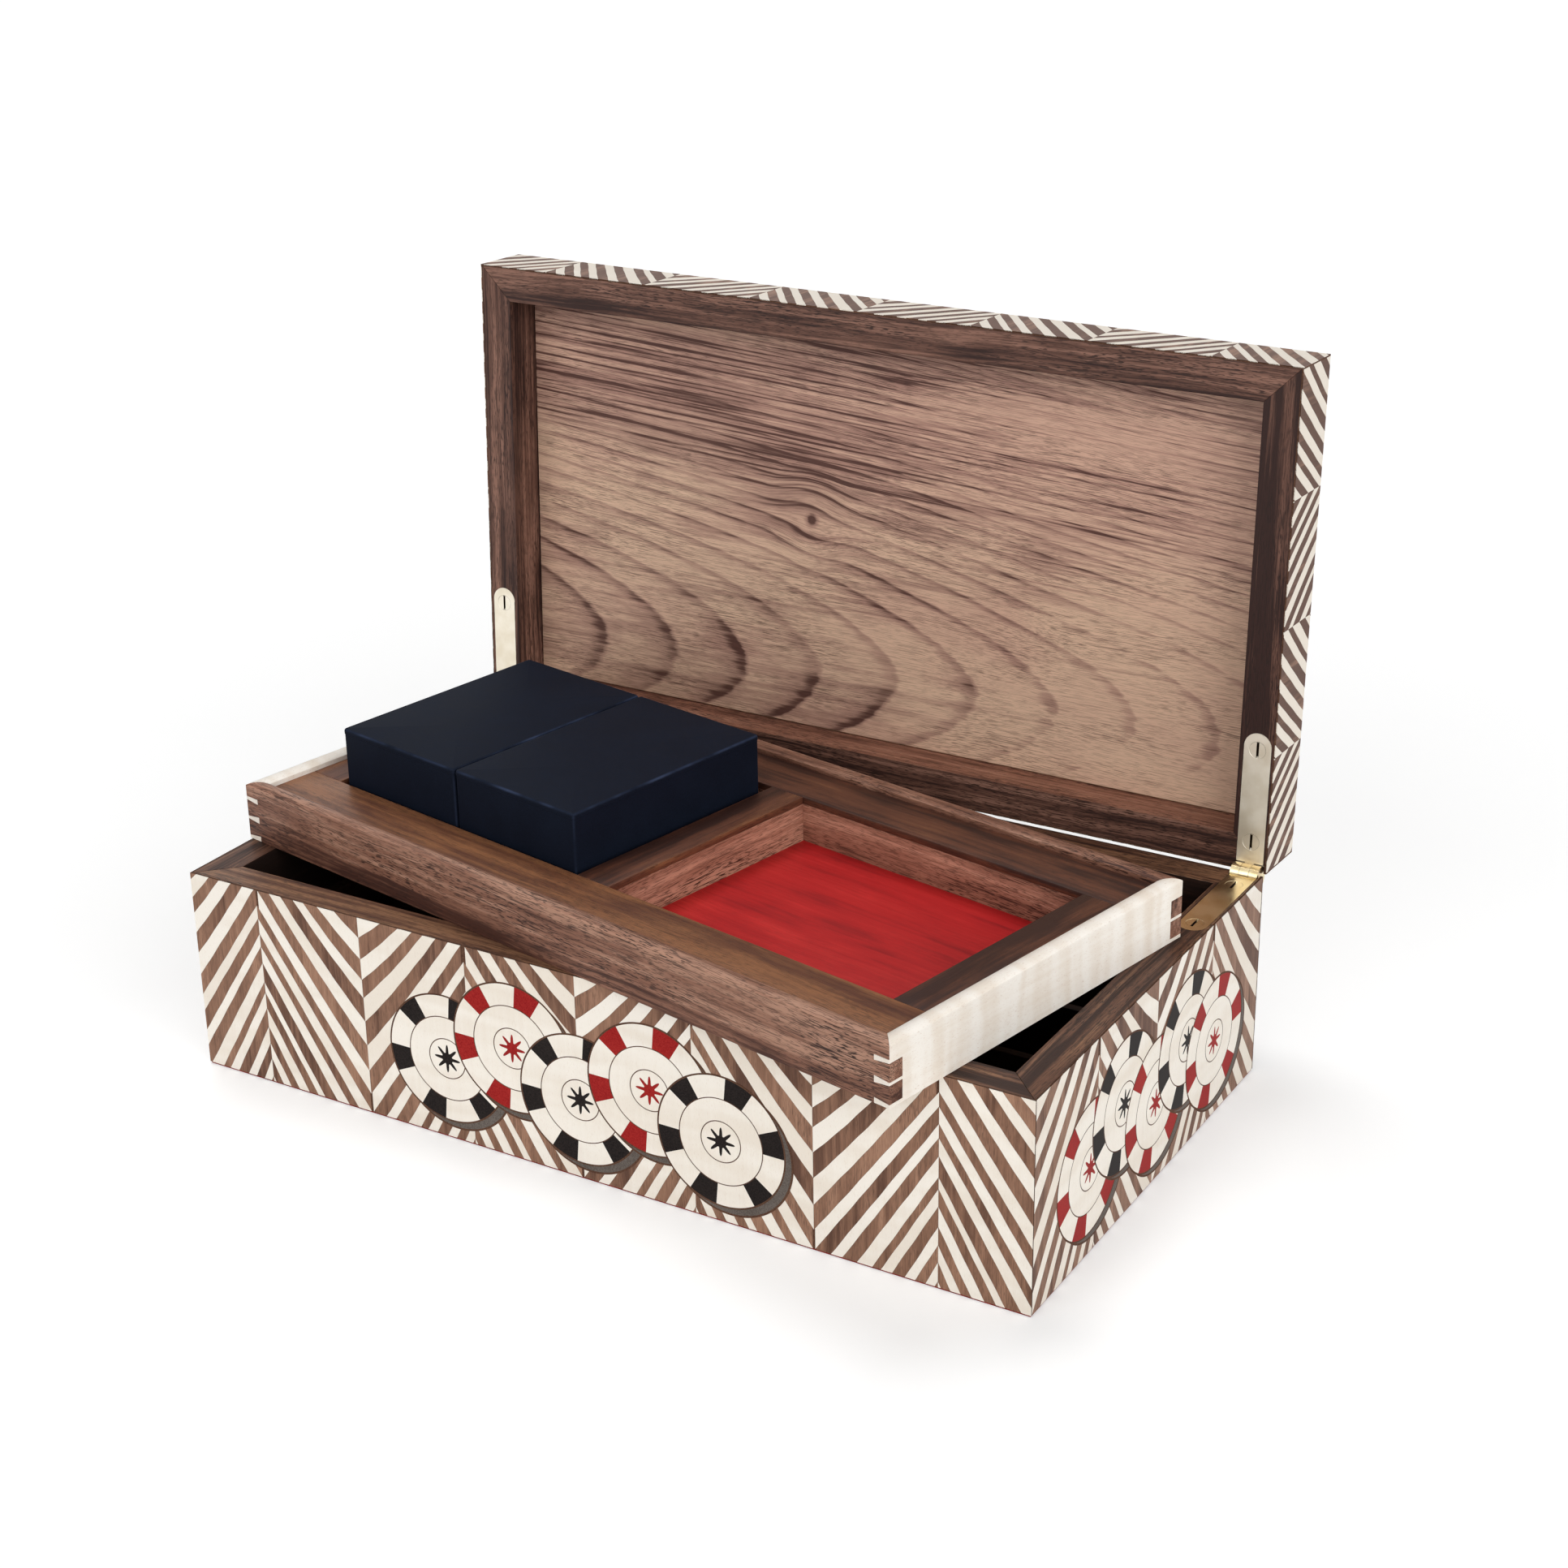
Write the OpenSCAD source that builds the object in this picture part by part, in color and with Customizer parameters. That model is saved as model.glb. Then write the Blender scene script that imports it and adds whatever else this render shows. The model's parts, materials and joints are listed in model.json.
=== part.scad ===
// Hinged wooden case for gaming chips, lid open, with its lift-out tray lying askew on the rim.
// Millimetres. X runs to the right, Y to the back and Z up, from the middle of the underside.

/* [Case] */
// Width of the case, left to right
case_w = 380; // [372:1:470]
// Depth of the case, front to back
case_d = 205; // [190:1:260]
// Height of the base, underside to rim
base_h = 87.6; // [80:0.1:110]
// Height of the lid, rim to top
lid_h = 28; // [24:0.1:36]
// Thickness of the solid boards of base and lid
board_t = 14.3; // [13:0.1:18]
// Thickness of the marquetry skins
skin_t = 0.7; // [0.5:0.1:1.2]
// Gap between the two rims when the lid is shut
lid_gap = 0.4; // [0.3:0.1:1]
// Angle of the lid at its stop, counted from shut
lid_open = 92.6; // [90:0.1:95]
// Depth of the hollow in the lid, rim to inner panel
lid_hollow = 17.5; // [14:0.1:20]
// Thickness of the figured panel inside the lid
lid_panel_t = 1.5; // [1:0.1:2.5]
// Shadow gap round the figured panel
lid_panel_gap = 0.6; // [0.2:0.1:1.5]

/* [Floor] */
// Thickness of the baize under the case
underlay_t = 0.8; // [0.5:0.1:2]
// Set-back of that baize from the outer faces
underlay_inset = 0.3; // [0:0.1:2]
// Thickness of the bottom board
bottom_t = 6; // [4:0.5:9]
// Height of the bottom board's groove above the baize
groove_up = 4; // [3:0.5:8]
// Depth of the grooves and rebates that hold bottom and lid cores
groove_d = 5; // [3:0.5:7]
// Play of a core in its groove, each side
groove_play = 0.2; // [0.1:0.1:0.5]
// Thickness of the baize on the inside floor
lining_t = 1; // [0.5:0.1:2]

/* [Chip rack] */
// Rows of chips, front to back
chip_rows = 4; // [3:1:5]
// Height of the dividers
divider_h = 30; // [20:1:34]
// Thickness of the dividers
divider_t = 4; // [3:0.5:6]
// Thickness of the ledges that the tray sits on
ledge_t = 6; // [4:0.5:9]
// How far below the rim the tray's top sits when put away
tray_sink = 5; // [3:0.5:8]

/* [Hinges] */
// Width of a hinge leaf
leaf_w = 11.5; // [10:0.1:12.2]
// Thickness of a hinge leaf
leaf_t = 2.6; // [2:0.1:3.2]
// Reach of a leaf, back face to rounded tip
leaf_reach = 58.4; // [50:0.2:75]
// Strip of rim left outside a leaf
leaf_margin = 1.6; // [1.2:0.1:2]
// Radius of the knuckles
knuckle_r = 4.7; // [4:0.1:6]
// Length of the middle knuckle
knuckle_mid = 3.9; // [3:0.1:5]
// Side gap between knuckles
knuckle_gap = 0.15; // [0.1:0.05:0.3]
// Room round a knuckle
knuckle_room = 0.4; // [0.3:0.1:0.8]
// Radius of the hinge pin
pin_r = 1.5; // [1.2:0.1:2]
// Running clearance of the pin in the lid's knuckle
pin_play = 0.05; // [0.02:0.01:0.1]
// Pin behind the back face
pin_back = 1.2; // [0.8:0.1:2]
// Pin below the base rim
pin_drop = 1.5; // [1:0.1:2]
// Play of a leaf in its recess
leaf_play = 0.1; // [0.05:0.05:0.3]

/* [Hinge screws] */
// Radius of a screw head
screw_head_r = 3.5; // [2.8:0.1:4]
// Height of the countersunk head
screw_head_h = 2; // [1.5:0.1:2.4]
// Radius of the shank
screw_r = 1.75; // [1.3:0.05:2]
// Length of a screw
screw_l = 14; // [10:0.5:18]
// Width of the slot
slot_w = 0.9; // [0.6:0.1:1.2]
// Depth of the slot
slot_d = 0.8; // [0.5:0.1:1.2]
// Screw near the knuckle, from the back face
screw_near = 12.4; // [11:0.1:16]
// Screw near the tip, in from the tip
screw_in = 7; // [5:0.1:10]
// Head below the leaf's face
screw_sink = 0.05; // [0.02:0.01:0.2]

/* [Tray] */
// Height of the tray
tray_h = 25; // [22:0.5:31]
// Thickness of the tray's sides and ends
tray_t = 7; // [6:0.1:9]
// Play of the tray in the base, each side
tray_play = 1.5; // [1:0.1:3]
// Turn of the tray on the rim
tray_turn = -11.27; // [-14:0.01:-8]
// Middle of the tray, right of the case's middle
tray_x = -4.1; // [-10:0.1:5]
// Gap between the tray's back corner and the open lid
tray_lid_gap = 1; // [0.5:0.1:4]
// Gap between tray and rim
tray_rest_gap = 0.1; // [0:0.1:0.5]
// Radius of the crowned top edge
crown_r = 6; // [5:0.5:20]
// Height of the mitred shoulder above the dovetails
mitre_h = 6.1; // [4:0.1:8]
// Tails at each corner
tails = 2; // [1:1:3]
// Width of a pin at the outer face
pin_tip = 1.2; // [0.8:0.1:3]
// Width of a pin at its root
pin_root = 2.8; // [2:0.1:4.5]
// Height of the outer pins' middles from the joint's ends
pin_edge = 0.85; // [0.5:0.05:1.2]
// Thickness of the tray's bottom
tray_bottom_t = 2.2; // [1.8:0.1:5]
// Thickness of the stained well floors
well_floor_t = 0.6; // [0.4:0.1:1.2]
// Drop from the crowned edge to the top strips
strip_drop = 3; // [1:0.1:4]
// Thickness of the top strips
strip_t = 3; // [2:0.1:5]
// Width of the strips at the two ends
end_strip_w = 16.9; // [10:0.1:24]
// Width of the strip between the wells
mid_strip_w = 17; // [12:0.1:24]
// Width of the strips at front and back
long_strip_w = 23.5; // [15:0.1:30]
// Thickness of the well walls
well_wall_t = 3.5; // [2.5:0.1:5]

/* [Card boxes] */
// Height of a card box
box_h = 43.1; // [38:0.1:52]
// Thickness of the covered board
box_t = 1.8; // [1.2:0.1:2.2]
// Play of the cover over the inner box, each side
box_play = 0.3; // [0.2:0.1:0.8]
// Gap from the boxes to the well's end walls
box_end_gap = 2.4; // [1:0.1:5]
// Gap between the two boxes
box_mid_gap = 0.6; // [0.3:0.1:3]
// Gap in front of the boxes
box_front_gap = 1.5; // [0.5:0.1:4]
// Gap behind the boxes
box_back_gap = 4.5; // [1:0.1:9]
// Width of a playing card
card_w = 57; // [56:0.5:57.5]
// Length of a playing card
card_l = 88; // [86:0.5:90]
// Thickness of a pack
pack_t = 17; // [15:0.5:18]
// Corner radius of a card
card_r = 3.5; // [2:0.5:5]
// Room above the packs and the inner box's rim
box_head = 1.5; // [1:0.1:3]

/* [Hidden] */
$fn = 64;
over = 1;
walnut = [0.38, 0.24, 0.16];
sycamore = [0.91, 0.86, 0.75];
marquetry = [0.68, 0.56, 0.43];
figured = [0.45, 0.28, 0.17];
brass = [0.83, 0.66, 0.30];
red = [0.70, 0.05, 0.11];
navy = [0.08, 0.11, 0.24];
black = [0.06, 0.06, 0.06];
paper = [0.93, 0.92, 0.88];

core_w = case_w - 2 * skin_t;
core_d = case_d - 2 * skin_t;
inner_w = core_w - 2 * board_t;
inner_d = core_d - 2 * board_t;
lid_z = base_h + lid_gap;
lid_core_z = lid_z + lid_hollow + lid_panel_t;
floor_z = underlay_t + groove_up + bottom_t;
lining_z = floor_z + lining_t;
seat_z = base_h - tray_sink - tray_h;
row_pitch = (inner_d + divider_t) / chip_rows;

pin_y = case_d / 2 + pin_back;
pin_z = base_h - pin_drop;
leaf_x = case_w / 2 - leaf_margin - leaf_w / 2;
leaf_tip_y = case_d / 2 - leaf_reach;
screw_ys = [case_d / 2 - screw_near, leaf_tip_y + screw_in];

tray_l = inner_w - 2 * tray_play;
tray_w = inner_d - 2 * tray_play;
tray_in_l = tray_l - 2 * tray_t;
tray_in_w = tray_w - 2 * tray_t;
joint_h = tray_h - mitre_h;
strip_z = tray_h - strip_drop - strip_t;
well_l = (tray_in_l - mid_strip_w) / 2 - end_strip_w;
well_w = tray_in_w - 2 * long_strip_w;
well_x = (mid_strip_w + well_l) / 2;
well_z = tray_bottom_t + well_floor_t;
wall_h = strip_z - tray_bottom_t;
// Foremost point of the open lid's rim plane, which the tray's back corner must clear
lid_foot_y = pin_y - pin_back * cos(lid_open) + (lid_gap + pin_drop) * sin(lid_open);
tray_y = lid_foot_y - tray_lid_gap - sin(abs(tray_turn)) * tray_l / 2 - cos(tray_turn) * tray_w / 2;

box_w = (well_l - 2 * box_end_gap - box_mid_gap) / 2;
box_l = well_w - box_front_gap - box_back_gap;
box_y = (box_front_gap - box_back_gap) / 2;
tub_w = box_w - 2 * box_t - 2 * box_play;
tub_l = box_l - 2 * box_t - 2 * box_play;
tub_h = box_h - box_t - box_head;

// Poses of the moving groups

module in_lid() {
  translate([0, pin_y, pin_z])
    rotate([-lid_open, 0, 0])
      translate([0, -pin_y, -pin_z])
        children();
}

module in_tray() {
  translate([tray_x, tray_y, base_h + tray_rest_gap])
    rotate([0, 0, tray_turn])
      children();
}

module in_card_box(side) {
  in_tray()
    translate([-well_x + side * (box_w + box_mid_gap) / 2, box_y, well_z])
      children();
}

// A block centred on X and Y that stands on z
module block(w, d, h, z = 0) {
  translate([-w / 2, -d / 2, z])
    cube([w, d, h]);
}

// Frames of base and lid: four mitred boards and their skins

module mitred_plan(long, across, t) {
  polygon([
    [-long / 2, -across / 2],
    [long / 2, -across / 2],
    [long / 2 - t, -across / 2 + t],
    [-long / 2 + t, -across / 2 + t]
  ]);
}

// Room for a core let into the boards all round, and the core itself
module core_room(h, z, play = 0) {
  reach = groove_d - play;
  block(inner_w + 2 * reach, inner_d + 2 * reach, h, z);
}

module grooved_core(h, z) {
  core_room(h, z, groove_play);
}

// Quarter turns from the front: 1 is right, 2 is back and 3 is left
module frame_plan(quarter) {
  along_x = quarter % 2 == 0;
  rotate([0, 0, 90 * quarter])
    mitred_plan(along_x ? core_w : core_d, along_x ? core_d : core_w, board_t);
}

// Front and back skins run full width, and the end skins stand between them
module skin(quarter, h, z) {
  long = quarter % 2 == 0 ? case_w : case_d - 2 * skin_t;
  across = quarter % 2 == 0 ? case_d : case_w;
  rotate([0, 0, 90 * quarter])
    translate([-long / 2, -across / 2, z])
      cube([long, skin_t, h]);
}

module base_board(quarter) {
  difference() {
    translate([0, 0, underlay_t])
      linear_extrude(base_h - underlay_t)
        frame_plan(quarter);
    core_room(bottom_t, underlay_t + groove_up);
    hinge_room(base_h, 1);
  }
}

module lid_board(quarter) {
  difference() {
    translate([0, 0, lid_z])
      linear_extrude(lid_h - skin_t)
        frame_plan(quarter);
    core_room(lid_h, lid_core_z);
    hinge_room(lid_z, -1);
  }
}

module base_skin(quarter) {
  difference() {
    skin(quarter, base_h - underlay_t, underlay_t);
    barrel_room();
  }
}

module lid_skin(quarter) {
  difference() {
    skin(quarter, lid_h, lid_z);
    barrel_room();
  }
}

module base_front_board() {
  color(walnut) base_board(0);
}

module base_right_board() {
  color(walnut) base_board(1);
}

module base_back_board() {
  color(walnut) base_board(2);
}

module base_left_board() {
  color(walnut) base_board(3);
}

module base_front_veneer() {
  color(marquetry) base_skin(0);
}

module base_right_veneer() {
  color(marquetry) base_skin(1);
}

module base_back_veneer() {
  color(marquetry) base_skin(2);
}

module base_left_veneer() {
  color(marquetry) base_skin(3);
}

module lid_front_board() {
  color(walnut) in_lid() lid_board(0);
}

module lid_right_board() {
  color(walnut) in_lid() lid_board(1);
}

module lid_back_board() {
  color(walnut) in_lid() lid_board(2);
}

module lid_left_board() {
  color(walnut) in_lid() lid_board(3);
}

module lid_front_veneer() {
  color(marquetry) in_lid() lid_skin(0);
}

module lid_right_veneer() {
  color(marquetry) in_lid() lid_skin(1);
}

module lid_back_veneer() {
  color(marquetry) in_lid() lid_skin(2);
}

module lid_left_veneer() {
  color(marquetry) in_lid() lid_skin(3);
}

module lid_top_veneer() {
  color(marquetry)
    in_lid()
      block(core_w, core_d, skin_t, lid_z + lid_h - skin_t);
}

module lid_core() {
  color(sycamore)
    in_lid()
      grooved_core(lid_z + lid_h - skin_t - lid_core_z, lid_core_z);
}

module lid_inner_panel() {
  color(figured)
    in_lid()
      block(inner_w - 2 * lid_panel_gap, inner_d - 2 * lid_panel_gap, lid_panel_t, lid_z + lid_hollow);
}

// Floor of the base

module base_bottom() {
  color(sycamore)
    grooved_core(bottom_t, underlay_t + groove_up);
}

module base_underlay() {
  color(red)
    block(case_w - 2 * underlay_inset, case_d - 2 * underlay_inset, underlay_t);
}

module floor_lining() {
  color(black)
    block(inner_w, inner_d, lining_t, floor_z);
}

// Ledges at both ends carry the tray when it is put away

module tray_ledge(side) {
  color(walnut)
    translate([side * (inner_w - ledge_t) / 2, 0, 0])
      block(ledge_t, inner_d, seat_z - lining_z, lining_z);
}

module tray_ledge_left() {
  tray_ledge(-1);
}

module tray_ledge_right() {
  tray_ledge(1);
}

// Dividers are halved together: the long ones are slotted from above, the cross one from below

module divider_places() {
  for (i = [1:chip_rows - 1])
    translate([0, -inner_d / 2 - divider_t / 2 + i * row_pitch, 0])
      children();
}

module chip_divider_set() {
  color(walnut)
    divider_places()
      difference() {
        block(inner_w - 2 * ledge_t, divider_t, divider_h, lining_z);
        block(divider_t, divider_t + 2 * over, divider_h, lining_z + divider_h / 2);
      }
}

module chip_cross_divider() {
  color(walnut)
    difference() {
      block(divider_t, inner_d, divider_h, lining_z);
      divider_places()
        block(divider_t + 2 * over, divider_t, divider_h / 2 + over, lining_z - over);
    }
}

// Hinges: leaves let flush into both rims, three knuckles on one pin

module both_ends() {
  for (side = [-1, 1])
    translate([side * leaf_x, 0, 0])
      children();
}

module along_pin(r, len) {
  translate([-len / 2, pin_y, pin_z])
    rotate([0, 90, 0])
      cylinder(h = len, r = r);
}

module barrel_room() {
  both_ends()
    along_pin(knuckle_r + knuckle_room, leaf_w + 2 * knuckle_room);
}

module leaf_plan(grow = 0) {
  round_y = leaf_tip_y + leaf_w / 2;
  translate([-leaf_w / 2 - grow, round_y])
    square([leaf_w + 2 * grow, pin_y - round_y]);
  translate([0, round_y])
    circle(r = leaf_w / 2 + grow);
}

// Flush recesses, screw holes and barrel notches; up is 1 for the base and -1 for the lid
module hinge_room(rim_z, up) {
  barrel_room();
  both_ends() {
    translate([0, 0, up > 0 ? rim_z - leaf_t : rim_z - over])
      linear_extrude(leaf_t + over)
        leaf_plan(leaf_play);
    for (y = screw_ys)
      translate([0, y, up > 0 ? rim_z - screw_l - screw_sink : rim_z - over])
        cylinder(h = screw_l + screw_sink + over, r = screw_r);
  }
}

// Countersunk hole in a leaf whose face is at z = 0, with the leaf below
module screw_seat() {
  translate([0, 0, -screw_head_h])
    cylinder(h = screw_head_h, r1 = screw_r + screw_sink, r2 = screw_head_r + screw_sink);
  translate([0, 0, -leaf_t - over])
    cylinder(h = leaf_t + over, r = screw_r + screw_sink);
}

module screw() {
  translate([0, 0, -screw_sink])
    difference() {
      union() {
        translate([0, 0, -screw_head_h])
          cylinder(h = screw_head_h, r1 = screw_r, r2 = screw_head_r);
        translate([0, 0, -screw_l])
          cylinder(h = screw_l - screw_head_h, r = screw_r);
      }
      block(slot_w, 2 * screw_head_r + over, slot_d + over, -slot_d);
    }
}

module screw_places(face_z, up) {
  for (y = screw_ys)
    translate([0, y, face_z])
      rotate([up > 0 ? 0 : 180, 0, 0])
        children();
}

module outer_knuckles(r, gap) {
  len = (leaf_w - knuckle_mid) / 2 - gap;
  for (side = [-1, 1])
    translate([side * (leaf_w - len) / 2, 0, 0])
      along_pin(r, len);
}

module hinge_base_leaf(side) {
  color(brass)
    translate([side * leaf_x, 0, 0])
      difference() {
        union() {
          difference() {
            translate([0, 0, base_h - leaf_t])
              linear_extrude(leaf_t)
                leaf_plan();
            along_pin(knuckle_r + knuckle_room, knuckle_mid + 2 * knuckle_gap);
          }
          outer_knuckles(knuckle_r, knuckle_gap);
        }
        along_pin(pin_r, leaf_w + over);
        screw_places(base_h, 1) screw_seat();
      }
}

module hinge_lid_leaf(side) {
  color(brass)
    in_lid()
      translate([side * leaf_x, 0, 0])
        difference() {
          union() {
            difference() {
              translate([0, 0, lid_z])
                linear_extrude(leaf_t)
                  leaf_plan();
              outer_knuckles(knuckle_r + knuckle_room, 0);
            }
            along_pin(knuckle_r, knuckle_mid);
          }
          along_pin(pin_r + pin_play, leaf_w + over);
          screw_places(lid_z, -1) screw_seat();
        }
}

module hinge_base_leaf_left() {
  hinge_base_leaf(-1);
}

module hinge_base_leaf_right() {
  hinge_base_leaf(1);
}

module hinge_lid_leaf_left() {
  hinge_lid_leaf(-1);
}

module hinge_lid_leaf_right() {
  hinge_lid_leaf(1);
}

module hinge_pin(side) {
  color(brass)
    translate([side * leaf_x, 0, 0])
      along_pin(pin_r, leaf_w);
}

module hinge_pin_left() {
  hinge_pin(-1);
}

module hinge_pin_right() {
  hinge_pin(1);
}

module base_hinge_screws() {
  color(brass)
    both_ends()
      screw_places(base_h, 1) screw();
}

module lid_hinge_screws() {
  color(brass)
    in_lid()
      both_ends()
        screw_places(lid_z, -1) screw();
}

// Tray: long sides carry the tails, ends carry the pins, and the crowned tops meet in mitres

function pin_mid(i) = pin_edge + i * (joint_h - 2 * pin_edge) / tails;

// Tails at the right-hand end of a long side, seen from the front
module tail_plan() {
  for (i = [0:tails - 1])
    polygon([
      [tray_in_l / 2, pin_mid(i) + pin_root / 2],
      [tray_l / 2, pin_mid(i) + pin_tip / 2],
      [tray_l / 2, pin_mid(i + 1) - pin_tip / 2],
      [tray_in_l / 2, pin_mid(i + 1) - pin_root / 2]
    ]);
}

module tail_ends(side) {
  translate([0, side * (tray_w - tray_t) / 2 + tray_t / 2, 0])
    rotate([90, 0, 0])
      linear_extrude(tray_t)
        for (flip = [0, 1])
          mirror([flip, 0])
            tail_plan();
}

module crown_plan() {
  intersection() {
    translate([-tray_t / 2, joint_h])
      square([tray_t, mitre_h]);
    translate([0, tray_h - crown_r])
      circle(r = crown_r);
  }
}

// Mitred top of the front side, as long as it says and set out for a tray as wide as it says
module crowned_top(long, across) {
  intersection() {
    translate([0, 0, joint_h])
      linear_extrude(mitre_h)
        mitred_plan(long, across, tray_t);
    translate([-long / 2, -(across - tray_t) / 2, 0])
      rotate([90, 0, 90])
        linear_extrude(long)
          crown_plan();
  }
}

module tray_side(side) {
  color(walnut)
    in_tray()
      union() {
        translate([0, side * (tray_w - tray_t) / 2, 0])
          block(tray_in_l, tray_t, joint_h);
        tail_ends(side);
        rotate([0, 0, side > 0 ? 180 : 0])
          crowned_top(tray_l, tray_w);
      }
}

module tray_end(side) {
  color(sycamore)
    in_tray()
      union() {
        difference() {
          translate([side * (tray_l - tray_t) / 2, 0, 0])
            block(tray_t, tray_w, joint_h);
          tail_ends(-1);
          tail_ends(1);
        }
        rotate([0, 0, side * 90])
          crowned_top(tray_w, tray_l);
      }
}

module tray_front_board() {
  tray_side(-1);
}

module tray_back_board() {
  tray_side(1);
}

module tray_left_end() {
  tray_end(-1);
}

module tray_right_end() {
  tray_end(1);
}

module tray_bottom() {
  color(sycamore)
    in_tray()
      block(tray_in_l, tray_in_w, tray_bottom_t);
}

// Top strips frame the two wells

module long_strip(side) {
  color(walnut)
    in_tray()
      translate([0, side * (tray_in_w - long_strip_w) / 2, 0])
        block(tray_in_l, long_strip_w, strip_t, strip_z);
}

module cross_strip(x, w) {
  color(walnut)
    in_tray()
      translate([x, 0, 0])
        block(w, well_w, strip_t, strip_z);
}

module tray_front_strip() {
  long_strip(-1);
}

module tray_back_strip() {
  long_strip(1);
}

module tray_left_strip() {
  cross_strip(-(tray_in_l - end_strip_w) / 2, end_strip_w);
}

module tray_middle_strip() {
  cross_strip(0, mid_strip_w);
}

module tray_right_strip() {
  cross_strip((tray_in_l - end_strip_w) / 2, end_strip_w);
}

// Well walls stand on the bottom, under the edges of the strips

module well_rail(side) {
  color(figured)
    in_tray()
      translate([0, side * (well_w + well_wall_t) / 2, 0])
        block(2 * (well_l + well_wall_t) + mid_strip_w, well_wall_t, wall_h, tray_bottom_t);
}

module well_wall(x) {
  color(figured)
    in_tray()
      translate([x, 0, 0])
        block(well_wall_t, well_w, wall_h, tray_bottom_t);
}

module well_front_rail() {
  well_rail(-1);
}

module well_back_rail() {
  well_rail(1);
}

module well_left_wall() {
  well_wall(-well_x - (well_l + well_wall_t) / 2);
}

module well_right_wall() {
  well_wall(well_x + (well_l + well_wall_t) / 2);
}

module well_middle_walls() {
  for (side = [-1, 1])
    well_wall(side * (mid_strip_w - well_wall_t) / 2);
}

module well_floor(side) {
  color(red)
    in_tray()
      translate([side * well_x, 0, 0])
        block(well_l, well_w, well_floor_t, tray_bottom_t);
}

module card_well_floor() {
  well_floor(-1);
}

module open_well_floor() {
  well_floor(1);
}

// Card boxes: an inner box, a full-depth cover over it and two packs

module card_cover(side) {
  color(navy)
    in_card_box(side)
      difference() {
        block(box_w, box_l, box_h);
        block(box_w - 2 * box_t, box_l - 2 * box_t, box_h - box_t + over, -over);
      }
}

module card_tub(side) {
  color(black)
    in_card_box(side)
      difference() {
        block(tub_w, tub_l, tub_h);
        block(tub_w - 2 * box_t, tub_l - 2 * box_t, tub_h, box_t);
      }
}

module card_plan() {
  square([card_w, card_l - 2 * card_r], center = true);
  square([card_w - 2 * card_r, card_l], center = true);
  for (x = [-1, 1], y = [-1, 1])
    translate([x * (card_w / 2 - card_r), y * (card_l / 2 - card_r)])
      circle(r = card_r);
}

module card_packs(side) {
  color(paper)
    in_card_box(side)
      for (i = [0, 1])
        translate([0, 0, box_t + i * (pack_t + box_play)])
          linear_extrude(pack_t)
            card_plan();
}

module card_box_left_cover() {
  card_cover(-1);
}

module card_box_left_tub() {
  card_tub(-1);
}

module card_packs_left() {
  card_packs(-1);
}

module card_box_right_cover() {
  card_cover(1);
}

module card_box_right_tub() {
  card_tub(1);
}

module card_packs_right() {
  card_packs(1);
}

base_front_board();
base_back_board();
base_left_board();
base_right_board();
base_bottom();
base_underlay();
floor_lining();
base_front_veneer();
base_back_veneer();
base_left_veneer();
base_right_veneer();
tray_ledge_left();
tray_ledge_right();
chip_divider_set();
chip_cross_divider();
hinge_base_leaf_left();
hinge_base_leaf_right();
hinge_lid_leaf_left();
hinge_lid_leaf_right();
hinge_pin_left();
hinge_pin_right();
base_hinge_screws();
lid_hinge_screws();
lid_front_board();
lid_back_board();
lid_left_board();
lid_right_board();
lid_core();
lid_inner_panel();
lid_top_veneer();
lid_front_veneer();
lid_back_veneer();
lid_left_veneer();
lid_right_veneer();
tray_front_board();
tray_back_board();
tray_left_end();
tray_right_end();
tray_bottom();
tray_front_strip();
tray_back_strip();
tray_left_strip();
tray_middle_strip();
tray_right_strip();
well_front_rail();
well_back_rail();
well_left_wall();
well_right_wall();
well_middle_walls();
card_well_floor();
open_well_floor();
card_box_left_cover();
card_box_left_tub();
card_packs_left();
card_box_right_cover();
card_box_right_tub();
card_packs_right();
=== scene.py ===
import json
import math

import bmesh
import bpy
import numpy as np
from mathutils import Matrix

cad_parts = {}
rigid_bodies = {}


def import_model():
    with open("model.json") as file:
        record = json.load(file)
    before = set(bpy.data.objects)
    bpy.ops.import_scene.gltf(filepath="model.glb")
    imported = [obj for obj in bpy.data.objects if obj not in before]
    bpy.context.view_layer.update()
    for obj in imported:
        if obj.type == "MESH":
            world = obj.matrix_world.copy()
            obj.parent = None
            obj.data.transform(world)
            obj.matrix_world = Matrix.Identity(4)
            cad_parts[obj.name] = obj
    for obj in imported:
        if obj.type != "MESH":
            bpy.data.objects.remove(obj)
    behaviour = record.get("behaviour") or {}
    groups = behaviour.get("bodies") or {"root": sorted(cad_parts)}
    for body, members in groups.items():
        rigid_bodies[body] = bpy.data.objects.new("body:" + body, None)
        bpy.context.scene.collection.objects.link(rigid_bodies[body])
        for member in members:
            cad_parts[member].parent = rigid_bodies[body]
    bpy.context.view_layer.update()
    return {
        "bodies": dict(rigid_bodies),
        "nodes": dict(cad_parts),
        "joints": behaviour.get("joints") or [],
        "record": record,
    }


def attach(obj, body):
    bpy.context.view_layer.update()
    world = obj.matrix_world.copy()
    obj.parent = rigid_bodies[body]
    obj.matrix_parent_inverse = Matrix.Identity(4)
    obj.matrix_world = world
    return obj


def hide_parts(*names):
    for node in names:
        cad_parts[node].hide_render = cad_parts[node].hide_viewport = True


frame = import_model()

scene = bpy.context.scene
nodes = frame["nodes"]
joints = {joint["name"]: joint for joint in frame["joints"]}
nodeBody = {node: body for body, names in frame["record"]["behaviour"]["bodies"].items() for node in names}
mm = 0.001


def readAll(items, field, width=3, kind=float):
    # one value of every vertex, corner or face, as rows of an array
    values = np.empty(len(items) * width, kind)
    items.foreach_get(field, values)
    return values.reshape(-1, width)


def nodePoints(node):
    return readAll(nodes[node].data.vertices, "co")


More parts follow.
